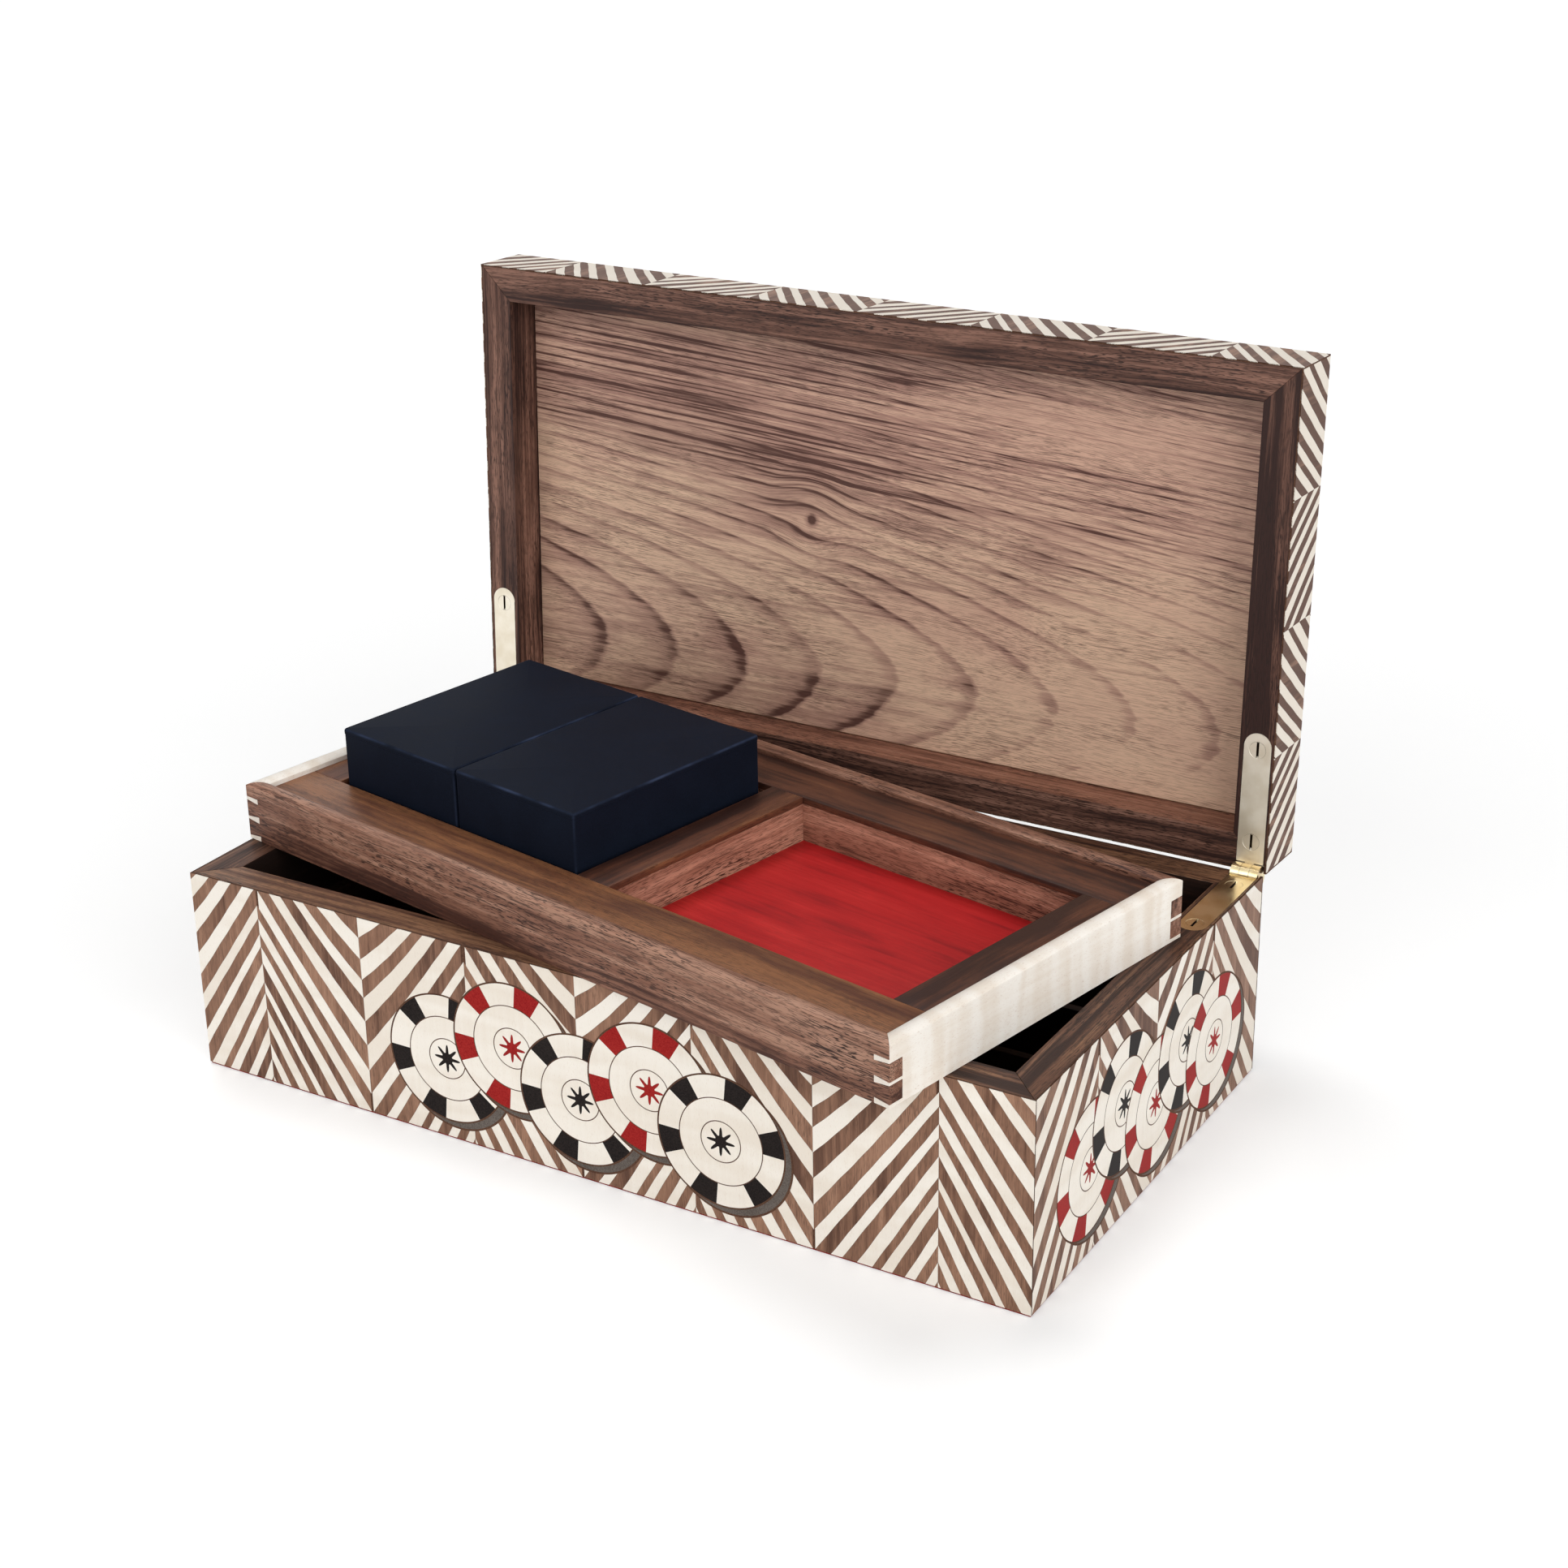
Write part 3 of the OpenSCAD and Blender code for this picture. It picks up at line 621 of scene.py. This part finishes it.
# Case boards, dividers and linings
boardEase = dict(ease=0.35, shortest=3.0)
boardTones = {"lid_right_board": -0.62, "lid_front_board": -0.16, "base_front_board": -0.2,
              "base_left_board": -0.45}
boardWays = {"front": ("x", (0, 1, 0)), "back": ("x", (0, -1, 0)),
             "left": ("y", (1, 0, 0)), "right": ("y", (-1, 0, 0))}   # grain and inward direction


def insideFinishAndShade(board, body, inward, finish):
    # faces that look into the case take a material of their own: in the base a dark walnut that is painted
    # shade, in the lid the lighter well walnut
    board.data.materials.append(materials[finish])
    normals = readAll(board.data.polygons, "normal") @ bodyFrames[body][:3, :3]
    setKinds(board.data, normals @ np.array(inward) > 0.9)


# the base boards' inner faces take a dark walnut that is painted shade
for part, finish, inside in (("base", "baseWalnut", "insideWalnut"), ("lid", "rimWalnut", "wellWalnut")):
    for side, (along, inward) in boardWays.items():
        node = f"{part}_{side}_board"
        board = easedCopy(node, finish, along, tone=boardTones.get(node, 0.0), **boardEase)
        if part == "base" or side == "back":
            insideFinishAndShade(board, part, inward, inside)
# the ledges and dividers inside the base take the same dark walnut, painted shade
for side in ("left", "right"):
    slab(f"tray_ledge_{side}", "insideWalnut", "y", 0.5)
easedCopy("chip_divider_set", "insideWalnut", "x", 0.4)
easedCopy("chip_cross_divider", "insideWalnut", "y", 0.4)
slab("base_bottom", "plywood")
slab("lid_core", "plywood")
# the floor lining is black, a sheet of painted shade for the deep dark inside the base
slab("floor_lining", "blackBaize", ease=0.3)
slab("base_underlay", "redBaize", ease=0.3)
print("case boards done")

# Lid panel: its grain coordinates run from its lower left corner as the lid stands open
panel = slab("lid_inner_panel", "panelWalnut", ease=0.4)
panelLow, panelHigh = ownBox("lid_inner_panel")
panelX, panelY, panelZ = toOwn("lid", readAll(panel.data.vertices, "co")).T
panelGrain = np.stack([panelX - panelLow[0], panelHigh[1] - panelY, panelZ * 0], -1)
panel.data.attributes["grain"].data.foreach_set("vector", panelGrain.astype(np.float32).ravel())

# Tray
jointEase = dict(ease=0.2, shortest=0.6)
for side in ("front", "back"):
    easedCopy(f"tray_{side}_board", "trayWalnut", "x", **jointEase)
for side in ("left", "right"):
    easedCopy(f"tray_{side}_end", "sycamoreEnd", "y", **jointEase)
slab("tray_bottom", "plywood")
stripTones = {"front": 0.2, "back": -0.12, "left": -0.18, "middle": -0.36, "right": -0.32}
for side, tone in stripTones.items():
    slab(f"tray_{side}_strip", "topWalnut", "x" if side in ("front", "back") else "y", 0.3, tone)
for side in ("front_rail", "back_rail", "left_wall", "right_wall"):
    slab(f"well_{side}", "wellWalnut", "x" if "rail" in side else "y", 0.2)
easedCopy("well_middle_walls", "wellWalnut", "y", 0.2, tone=0.25)
slab("card_well_floor", "redStain", "x", 0.1)
slab("open_well_floor", "redStain", "x", 0.1)
print("tray done")

# Card boxes: a cover with a second paper layer along its top edge, an inner box and two packs
# wear sets the strength of the scuffed wear and painted sheen along the cover's edges
coverLook = dict(corner=1.6, edge=1.1, wall=1.9, band=2.4, layer=0.2, wear=1.4)
tubLook = dict(corner=1.4, wall=1.8, lip=0.25)
packLook = dict(corner=3.5, edge=0.4, gap=0.1)


def inMetres(look, *keys):
    return [look[key] * mm for key in keys]


def cardCover(side, look):
    # profile: under the top, down the inside, up the outside past the layer's step, round the edge
    node = f"card_box_{side}_cover"
    low, high = ownBox(node)
    corner, edge, wall, band, layer = inMetres(look, "corner", "edge", "wall", "band", "layer")
    turn = np.radians(np.linspace(0, 90, 7))
    roundEdge = np.stack([edge * (1 - np.cos(turn)), high[2] - edge * (1 - np.sin(turn))], -1)
    profile = np.concatenate([
        [[1.0, high[2] - wall], [wall, high[2] - wall], [wall, low[2]], [layer, low[2]]],
        [[layer, high[2] - band], [0, high[2] - band + layer]], roundEdge, [[1.0, high[2]]]])
    mesh = closedMesh(node, *profileBox(low, high, corner, profile, 6), "navyPaper")
    # wear is 1 where two of the three distances to the cover's sides are small: it marks scuffed wear and a
    # painted sheen along the edges
    place = toOwn(nodeBody[node], readAll(mesh.vertices, "co"))
    near = np.minimum(place - low, high - place)
    near[:, 2] = high[2] - place[:, 2]
    setAttribute(mesh, "wear", np.clip(look["wear"] * (1 - np.sort(near, 1)[:, 1] / edge), 0, 1))
    finishNode(node, mesh, meshLook["paperSharp"])


def cardTub(side, look):
    # profile: under the floor, up the outside, over the lip, down the inside, across the floor
    node = f"card_box_{side}_tub"
    low, high = ownBox(node)
    corner, wall, lip = inMetres(look, "corner", "wall", "lip")
    profile = np.array([[1.0, low[2]], [lip, low[2]], [0, low[2] + lip], [0, high[2] - lip], [lip, high[2]],
                        [wall - lip, high[2]], [wall, high[2] - lip], [wall, low[2] + wall],
                        [1.0, low[2] + wall]])
    mesh = closedMesh(node, *profileBox(low, high, corner, profile, 5), "tubPaper")
    finishNode(node, mesh, meshLook["paperSharp"])


def cardPacks(side, look):
    # two round-cornered blocks, one on the other with a gap
    node = f"card_packs_{side}"
    low, high = ownBox(node)
    corner, edge, gap = inMetres(look, "corner", "edge", "gap")
    middle = (low[2] + high[2]) / 2
    shells = [profileBox(low, high, corner, easedProfile(bottom, top, edge), 8)
              for bottom, top in ((low[2], middle - gap / 2), (middle + gap / 2, high[2]))]
    points = np.concatenate([shell[0] for shell in shells])
    faces = np.concatenate([shells[0][1], shells[1][1] + len(shells[0][0])])
    mesh = closedMesh(node, points, faces, "cards")
    woodSpace(mesh, node, "x")
    finishNode(node, mesh, meshLook["paperSharp"])


for side in ("left", "right"):
    cardCover(side, coverLook)
    cardTub(side, tubLook)
    cardPacks(side, packLook)
print("card boxes done")

# Hinges: the eased edges are dark, painted shade for the gaps round leaves and screws with some tarnish, so
# leaves and screws stand out by a fine dark line
hingeLook = dict(leaf=0.22, pin=0.1, screw=0.35, barrel=4.9, slotDepth=0.02)


def darkEdges(piece):
    piece.data.materials.append(materials["tarnishAndShade"])
    piece.modifiers["ease"].material = 1


def darkSlots(piece, body, outward):
    # only a head's top stays bright, its slot and sides take the dark edge material: painted shade in the
    # slot and round the head, with some tarnish
    level = toOwn(body, readAll(piece.data.polygons, "center"))[:, 2] * outward
    setKinds(piece.data, level < level.max() - hingeLook["slotDepth"] * mm)


def barrelPolishAndReflection(piece):
    # faces within the barrel's radius of the pin's axis are polished, and painted golden as a reflection of
    # the wood
    piece.data.materials.append(materials["polishAndReflection"])
    offset = (readAll(piece.data.polygons, "center") - np.array(joints["lid_hinge"]["pos_m"]))[:, 1:]
    onBarrel = np.linalg.norm(offset, axis=1) < hingeLook["barrel"] * mm
    setKinds(piece.data, onBarrel * 2)


# base leaves, pins, barrels and base screws take the golden brass, a painted reflection of the wood
for side in ("left", "right"):
    darkEdges(easedCopy(f"hinge_base_leaf_{side}", "polishAndReflection", "y", hingeLook["leaf"], 1.0))
    lidLeaf = easedCopy(f"hinge_lid_leaf_{side}", "brass", "y", hingeLook["leaf"], 1.0)
    darkEdges(lidLeaf)
    barrelPolishAndReflection(lidLeaf)
    easedCopy(f"hinge_pin_{side}", "polishAndReflection", "x", hingeLook["pin"], 1.0)
for body, finish, outward in (("base", "polishAndReflection", 1), ("lid", "brass", -1)):
    screws = easedCopy(f"{body}_hinge_screws", finish, "x", hingeLook["screw"], 0.1)
    darkEdges(screws)
    darkSlots(screws, body, outward)
print("hinges done")

# Marquetry: strips between cuts, each a prism of veneer on a dark ground. A cut lies at
# depth = edge + slope x + half curl x^2, x being the distance from the column's peak (millimetres).
# The lid's strips are narrower and straighter than the base's
veneer = dict(column=51.4, sideColumn=52.1, frontPeak=34.4, sidePeak=50.8, columnsEachWay=8,
              firstEdge=-176.5, darkEdge=-12.0,
              stripWidths=(7, 7, 6, 8, 8, 8.5, 8, 6, 7, 5.5, 7.5, 8.5, 5, 7, 8.5, 7.5, 7.5, 8),
              slope=1.44, steepen=0.0085, steepFrom=10, steepOver=80,
              flatten=0.00025, flatBelow=12, flatOver=90, lidShare=0.84, lidBend=0.3,
              cut=0.08, ragged=0.07, waves=((1.0, 0.7, 3.1), (0.6, 0.31, 1.3)),
              shortest=0.5, thinnest=0.04, sliver=0.05, deep=0.35, ground=0.06, samples=25,
              toneSpread=0.18, grainSpread=0.9, barrelRoom=0.6)
# the lid's front face looks up when the lid stands open, and its darker tone is painted shade for the dimmer
# light from above; the other tones are the woods' own
faceTonesAndShade = {"lid_front_veneer": -0.35, "lid_right_veneer": -0.42, "base_right_veneer": -0.06}
cutEdges = veneer["firstEdge"] + np.concatenate([[0], np.cumsum(np.tile(veneer["stripWidths"], 3))])
darkIndex = np.argmin(np.abs(cutEdges - veneer["darkEdge"]))
veneerRandom = np.random.default_rng(5)
rimHeight = ownBox("base_front_board")[1][2]


def cutShape(edge, bend):
    # cuts low down are steeper, and those high up curl flatter
    steep = np.clip(edge - veneer["steepFrom"], 0, veneer["steepOver"])
    flat = np.clip(veneer["flatBelow"] - edge, 0, veneer["flatOver"])
    return veneer["slope"] + bend * veneer["steepen"] * steep, -bend * veneer["flatten"] * flat


def cutReach(edge, depth, bend):
    # the distance from the peak at which a cut comes down to a depth
    slope, curl = cutShape(edge, bend)
    drop = depth - edge
    return 2 * drop / (slope + np.sqrt(np.maximum(slope ** 2 + 2 * curl * drop, 0)))


def columnStrips(edges, near, far, top, bottom, bend):
    # every strip of one column as (strips, samples) arrays of x, upper depth and lower depth
    upper, lower = edges[:-1, None], edges[1:, None]
    start = np.clip(cutReach(lower, top, bend), near, far)
    end = np.clip(cutReach(upper, bottom, bend), near, far)
    kept = np.flatnonzero((end - start)[:, 0] > veneer["shortest"])
    upper, lower, start, end = upper[kept], lower[kept], start[kept], end[kept]
    count = veneer["samples"]
    x = start + (end - start) * np.linspace(0, 1, count)
    for cut, edgeDepth in ((upper, top), (lower, bottom)):
        corner = np.clip(cutReach(cut, edgeDepth, bend), start, end)
        nearest = np.rint((corner - start) / (end - start) * (count - 1)).astype(int)
        np.put_along_axis(x, nearest, corner, 1)
    sides = []
    for cut, sign in ((upper, 1), (lower, -1)):
        slope, curl = cutShape(cut, bend)
        # the saw's slight wander along a cut, the same for the strips on both sides of it
        wander = sum(size * np.sin(pace * x + shift * cut) for size, pace, shift in veneer["waves"])
        inset = veneer["ragged"] * wander + sign * veneer["cut"] / 2
        sides.append(cut + slope * x + curl * x ** 2 / 2 + inset * np.sqrt(1 + (slope + curl * x) ** 2))
    high = np.clip(sides[0], top, bottom - veneer["sliver"])
    low = np.clip(np.maximum(sides[1], high + veneer["thinnest"]), top, bottom)
    return kept, x, high, low


def stripPrisms(face, left, right):
    # the strips between two places along a face, as (strips, samples, corners, 3), and which are dark
    middle = (left + right) / 2
    step = math.floor((middle - face["peak"]) / face["column"])
    falling = step % 2 == 0   # falls away to the right of its peak
    peakAt = face["peak"] + face["column"] * (step if falling else step + 1)
    near, far = sorted((abs(left - peakAt), abs(right - peakAt)))
    ends = (left, right) if falling else (right, left)
    nearGap, farGap = [veneer["cut"] / 2 * (0.01 < end < face["width"] - 0.01) for end in ends]
    top, bottom, notch = face["top"], face["bottom"], face["notch"]
    if notch and any(start < middle < end for start, end in notch["spans"]):
        top, bottom = notch["top"], notch["bottom"]
    near, far = near + nearGap, far - farGap
    kept, x, upper, lower = columnStrips(face["edges"], near, far, top, bottom, face["bend"])
    along = peakAt + x if falling else peakAt - x
    front, back = np.zeros_like(x), np.full_like(x, veneer["deep"])
    corners = ((upper, front), (lower, front), (lower, back), (upper, back))
    prisms = np.stack([np.stack([along, depth, inward], -1) for depth, inward in corners], 2)
    return prisms, ((kept - darkIndex) % 2 == 0) == falling


def veneerGround(node, place):
    # the CAD skin with its outer face set back
    skin, triangles = mergedNode(node, toOwn(nodeBody[node], nodePoints(node)))
    outward = -(place(np.array([[0, 0, 1.0]])) - place(np.zeros((1, 3))))[0]
    outward /= np.linalg.norm(outward)
    reach = skin @ outward
    skin -= np.outer(reach > reach.max() - 0.1 * mm, outward) * veneer["ground"] * mm
    return skin, triangles


def veneerFace(node, face):
    # place turns (along, depth, inward) in millimetres into a point of the body's own frame
    body, place, width = nodeBody[node], face["place"], face["width"]
    count = veneer["columnsEachWay"]
    marks = face["peak"] + face["column"] * np.arange(-count, count + 1)
    ends = [0, width, *(np.ravel(face["notch"]["spans"]) if face["notch"] else [])]
    splits = np.unique(np.clip(np.concatenate([marks, ends]), 0, width))
    points, faces, kinds, tones, grains = [], [], [], [], []
    total = 0
    for left, right in zip(splits[:-1], splits[1:]):
        prisms, dark = stripPrisms(face, left, right)
        strips, samples = prisms.shape[:2]
        flat = prisms.reshape(-1, 3)
        first = total + np.arange(strips)[:, None] * samples * 4
        sides = (gridQuads(samples, 4)[None] + first[..., None]).reshape(-1, 4)
        faces += [sides, first + [3, 2, 1, 0], first + (samples - 1) * 4 + [0, 1, 2, 3]]
        kinds += [np.repeat(dark, (samples - 1) * 4), dark, dark]
        own = veneerRandom.uniform(-1, 1, (strips, 3))
        stripTone = own[:, 0] * veneer["toneSpread"] + faceTonesAndShade.get(node, 0)
        tones.append(np.repeat(stripTone, samples * 4))
        shift = np.repeat(own * veneer["grainSpread"], samples * 4, axis=0)
        grains.append((flat * mm)[:, [1, 0, 2]] + shift)
        points.append(flat)
        total += len(flat)
    skin, triangles = veneerGround(node, place)
    allPoints = toRest(body, np.concatenate([place(np.concatenate(points)), skin]))
    allFaces = np.concatenate(faces).tolist() + (triangles + total).tolist()
    mesh = newMesh(node + "_finish", allPoints, allFaces, "stripSycamore", "stripWalnut", "glueLine")
    setKinds(mesh, np.concatenate([*kinds, np.full(len(triangles), 2)]))
    setAttribute(mesh, "grain", np.concatenate([*grains, skin]))
    setAttribute(mesh, "tone", np.concatenate([*tones, np.zeros(len(skin))]))
    turnOutward(mesh)
    addPiece(node + "_finish", mesh, body, [node])


def facePlace(node, side):
    # along the face from its left as seen from outside, depth below the base's rim, and inwards
    low, high = ownBox(node)
    inward = np.array(boardWays[side][1][:2])
    along = inward[::-1] * (1, -1)
    start = np.where(inward + along > 0, low[:2], high[:2])

    def place(points):
        flat = start + mm * (points[:, :1] * along + points[:, 2:] * inward)
        return np.concatenate([flat, rimHeight - mm * points[:, 1:2]], -1)
    return place


def hingeNotch(part, face):
    # the back faces leave room for the hinge barrels
    high, room = ownBox(f"{part}_back_veneer")[1], veneer["barrelRoom"]
    leafLow, leafHigh = ownBox(f"hinge_{part}_leaf_right")
    outer = (high[0] - leafHigh[0]) / mm - room
    inner = (high[0] - leafLow[0]) / mm + room
    spans = ((outer, inner), (face["width"] - inner, face["width"] - outer))
    if part == "base":
        return dict(spans=spans, top=(rimHeight - leafLow[2]) / mm + room, bottom=face["bottom"])
    return dict(spans=spans, top=face["top"], bottom=(rimHeight - leafHigh[2]) / mm - room)


def sideFace(part, side):
    node = f"{part}_{side}_veneer"
    low, high = ownBox(node)
    face = dict(place=facePlace(node, side), width=max(high[0] - low[0], high[1] - low[1]) / mm, notch=None,
                top=(rimHeight - high[2]) / mm, bottom=(rimHeight - low[2]) / mm, edges=cutEdges, bend=1.0,
                peak=veneer["frontPeak"], column=veneer["column"])
    if side in ("left", "right"):
        face.update(peak=veneer["sidePeak"], column=veneer["sideColumn"])
    if part == "lid":
        face.update(edges=cutEdges * veneer["lidShare"], bend=veneer["lidBend"])
    if side == "back":
        face["notch"] = hingeNotch(part, face)
    veneerFace(node, face)


def topFace(node):
    # along the lid from its left, depth from its back edge, and downwards
    low, high = ownBox(node)

    def place(points):
        along, depth, inward = points.T * mm
        return np.stack([low[0] + along, high[1] - depth, high[2] - inward], -1)
    veneerFace(node, dict(place=place, width=(high[0] - low[0]) / mm, notch=None, top=0,
                          bottom=(high[1] - low[1]) / mm, edges=cutEdges, bend=0.0,
                          peak=veneer["frontPeak"], column=veneer["column"]))


for part in ("base", "lid"):
    for side in ("front", "right", "back", "left"):
        sideFace(part, side)
topFace("lid_top_veneer")
print("marquetry done")

# Inlaid gaming chips: each is a profile of rings turned round its middle, with a star, lines and edge spots,
# over a smoked disc set off to one side (millimetres along the face and above its foot)
inlayLook = dict(radius=28.0, star=(0.09, 0.22), points=8, rings=(0.30, 0.315, 0.64, 0.655, 0.975, 1.0),
                 discRim=0.97, spots=6, spotShare=0.4, segments=128, deep=0.2, proud=0.02, step=0.015,
                 shade=(3.2, -2.6), merge=0.0005, grainStart=0.37,
                 front=((126, 35, "inlayBlack"), (158, 48, "inlayRed"), (189, 34, "inlayBlack"),
                        (221, 47, "inlayRed"), (252, 34, "inlayBlack")),
                 right=((46, 36, "inlayRed"), (75, 48, "inlayBlack"), (104, 34, "inlayRed"),
                        (133, 47, "inlayBlack"), (160, 34, "inlayRed")))


def turnedDisc(centre, radii, depths):
    # rows of (radius, depth) turned about the centre: along + r cos, depth - r sin
    angle = np.linspace(0, 2 * np.pi, radii.shape[1], endpoint=False)
    along = centre[0] + radii * np.cos(angle)
    down = centre[1] - radii * np.sin(angle)
    return np.stack([along, down, np.broadcast_to(depths[:, None], radii.shape)], -1).reshape(-1, 3)


def chipRows(look):
    # radii of the disc's and the chip's rows, and the finish of each face between them
    count = look["segments"]
    angle = np.linspace(0, 2 * np.pi, count, endpoint=False) + np.pi / count
    even = np.ones(count)
    inner, outer = look["star"]
    star = inner + (outer - inner) * (0.5 + 0.5 * np.cos(look["points"] * angle)) ** 2
    disc = np.stack([share * even for share in (0, look["discRim"], 1, 1, 0)])
    chip = np.stack([0 * even, star, *[share * even for share in (*look["rings"], 1, 0)]])
    cream, accent, line, smoke = 0, 1, 2, 3
    discKinds = np.repeat([[smoke], [line], [line], [line]], count, axis=1)
    chipKinds = [accent, cream, line, cream, line, cream, line, line, line]
    chipKinds = np.repeat(np.array(chipKinds)[:, None], count, axis=1)
    isSpot = (angle * look["spots"] / (2 * np.pi)) % 1 < look["spotShare"]
    chipKinds[5] = np.where(isSpot, accent, cream)
    return (look["radius"] * disc, discKinds), (look["radius"] * chip, chipKinds)


def inlayFace(side, look):
    node = f"base_{side}_veneer"
    place = facePlace(node, side)
    foot = (rimHeight - ownBox(node)[0][2]) / mm
    disc, chip = chipRows(look)
    pieces = {}
    for order, (along, height, tint) in enumerate(look[side]):
        proud = look["proud"] + 2 * order * look["step"]
        for (rows, kinds), shift, lift in ((disc, look["shade"], 0), (chip, (0, 0), look["step"])):
            depths = np.where(np.arange(len(rows)) < len(rows) - 2, -(proud + lift), look["deep"])
            centre = (along + shift[0], foot - height - shift[1])
            shell = (turnedDisc(centre, rows, depths), gridQuads(*rows.shape), kinds.ravel())
            pieces.setdefault(tint, []).append(shell)
    for tint, shells in pieces.items():
        starts = np.cumsum([0] + [len(shell[0]) for shell in shells])
        flat = np.concatenate([shell[0] for shell in shells])
        faces = np.concatenate([shell[1] + start for shell, start in zip(shells, starts)])
        name = f"{side}_chips_{tint[5:].lower()}"
        mesh = newMesh(name, toRest("base", place(flat)), faces.tolist(),
                       "stripSycamore", tint, "glueLine", "inlayGrey")
        setKinds(mesh, np.concatenate([shell[2] for shell in shells]))
        setAttribute(mesh, "grain", flat[:, [1, 0, 2]] * mm + look["grainStart"])
        turnOutward(mesh, look["merge"])
        addPiece(name, mesh, "base", [])


inlayFace("front", inlayLook)
inlayFace("right", inlayLook)
print("inlay done")

# Floor, light and camera
stageLook = dict(floorSize=40.0, floorColour=(0.8, 0.8, 0.8, 1), floorGlow=0.36, worldLight=0.10)
lampLooks = lookTable("azimuth elevation strength spread", {
    "key": (-8, 24, 1.28, 60),
    "fill": (66, 20, 2.15, 60),
    "back": (226, 69, 1.18, 25),
})
cameraLook = dict(place=(0.54934, -0.85841, 0.56514), azimuth=0.54419, elevation=0.40636, roll=-0.01722,
                  lens=64.31, sensor=36.0)


def lightPathShare(tree):
    # 1 for rays from the camera and from gloss or glass, 0 for the rays that light the object
    path = addNode("LightPath", {}, tree).outputs
    seen = calc("MAXIMUM", path["Is Camera Ray"], path["Is Glossy Ray"])
    return calc("MAXIMUM", seen, path["Is Transmission Ray"])


def makeFloor(look):
    half = look["floorSize"] / 2
    corners = [(-half, -half, 0), (half, -half, 0), (half, half, 0), (-half, half, 0)]
    mesh = bpy.data.meshes.new("floor")
    mesh.from_pydata(corners, [], [(0, 1, 2, 3)])
    material, tree = newMaterial("paleFloor")
    shader = addNode("BsdfDiffuse", {"Color": look["floorColour"]}, tree)
    strength = times(lightPathShare(tree), look["floorGlow"])
    glow = addNode("Emission", {"Strength": strength})
    both = addNode("AddShader", {0: shader.outputs[0], 1: glow.outputs[0]})
    addNode("OutputMaterial", {"Surface": both.outputs[0]})
    mesh.materials.append(material)
    floor = bpy.data.objects.new("floor", mesh)
    scene.collection.objects.link(floor)


def makeWorld(look):
    world = bpy.data.worlds.new("studio")
    world.use_nodes = True
    scene.world = world
    tree = world.node_tree
    tree.nodes.clear()
    white = (1, 1, 1, 1)
    dim = addNode("Background", {"Color": white, "Strength": look["worldLight"]}, tree)
    bright = addNode("Background", {"Color": white, "Strength": 1.0}, tree)
    mixed = addNode("MixShader", {0: lightPathShare(tree), 1: dim.outputs[0], 2: bright.outputs[0]})
    addNode("OutputWorld", {"Surface": mixed.outputs[0]})


def aim(azimuth, elevation):
    # a turn that looks back from a direction, in radians
    return Matrix.Rotation(azimuth, 4, "Z") @ Matrix.Rotation(math.pi / 2 - elevation, 4, "X")


def makeLamp(name, look):
    # a soft even lamp: its spread is the angle that it fills
    lamp = bpy.data.lights.new(name, "SUN")
    lamp.energy = look["strength"]
    lamp.angle = math.radians(look["spread"])
    holder = bpy.data.objects.new(name, lamp)
    holder.matrix_world = aim(math.radians(look["azimuth"]), math.radians(look["elevation"]))
    scene.collection.objects.link(holder)


def makeCamera(look):
    data = bpy.data.cameras.new("camera")
    data.lens, data.sensor_width = look["lens"], look["sensor"]
    camera = bpy.data.objects.new("camera", data)
    turn = aim(look["azimuth"], look["elevation"]) @ Matrix.Rotation(look["roll"], 4, "Z")
    camera.matrix_world = Matrix.Translation(look["place"]) @ turn
    scene.collection.objects.link(camera)
    scene.camera = camera


makeFloor(stageLook)
makeWorld(stageLook)
for lampName, lampLook in lampLooks.items():
    makeLamp(lampName, lampLook)
makeCamera(cameraLook)
scene.view_settings.view_transform = "Standard"
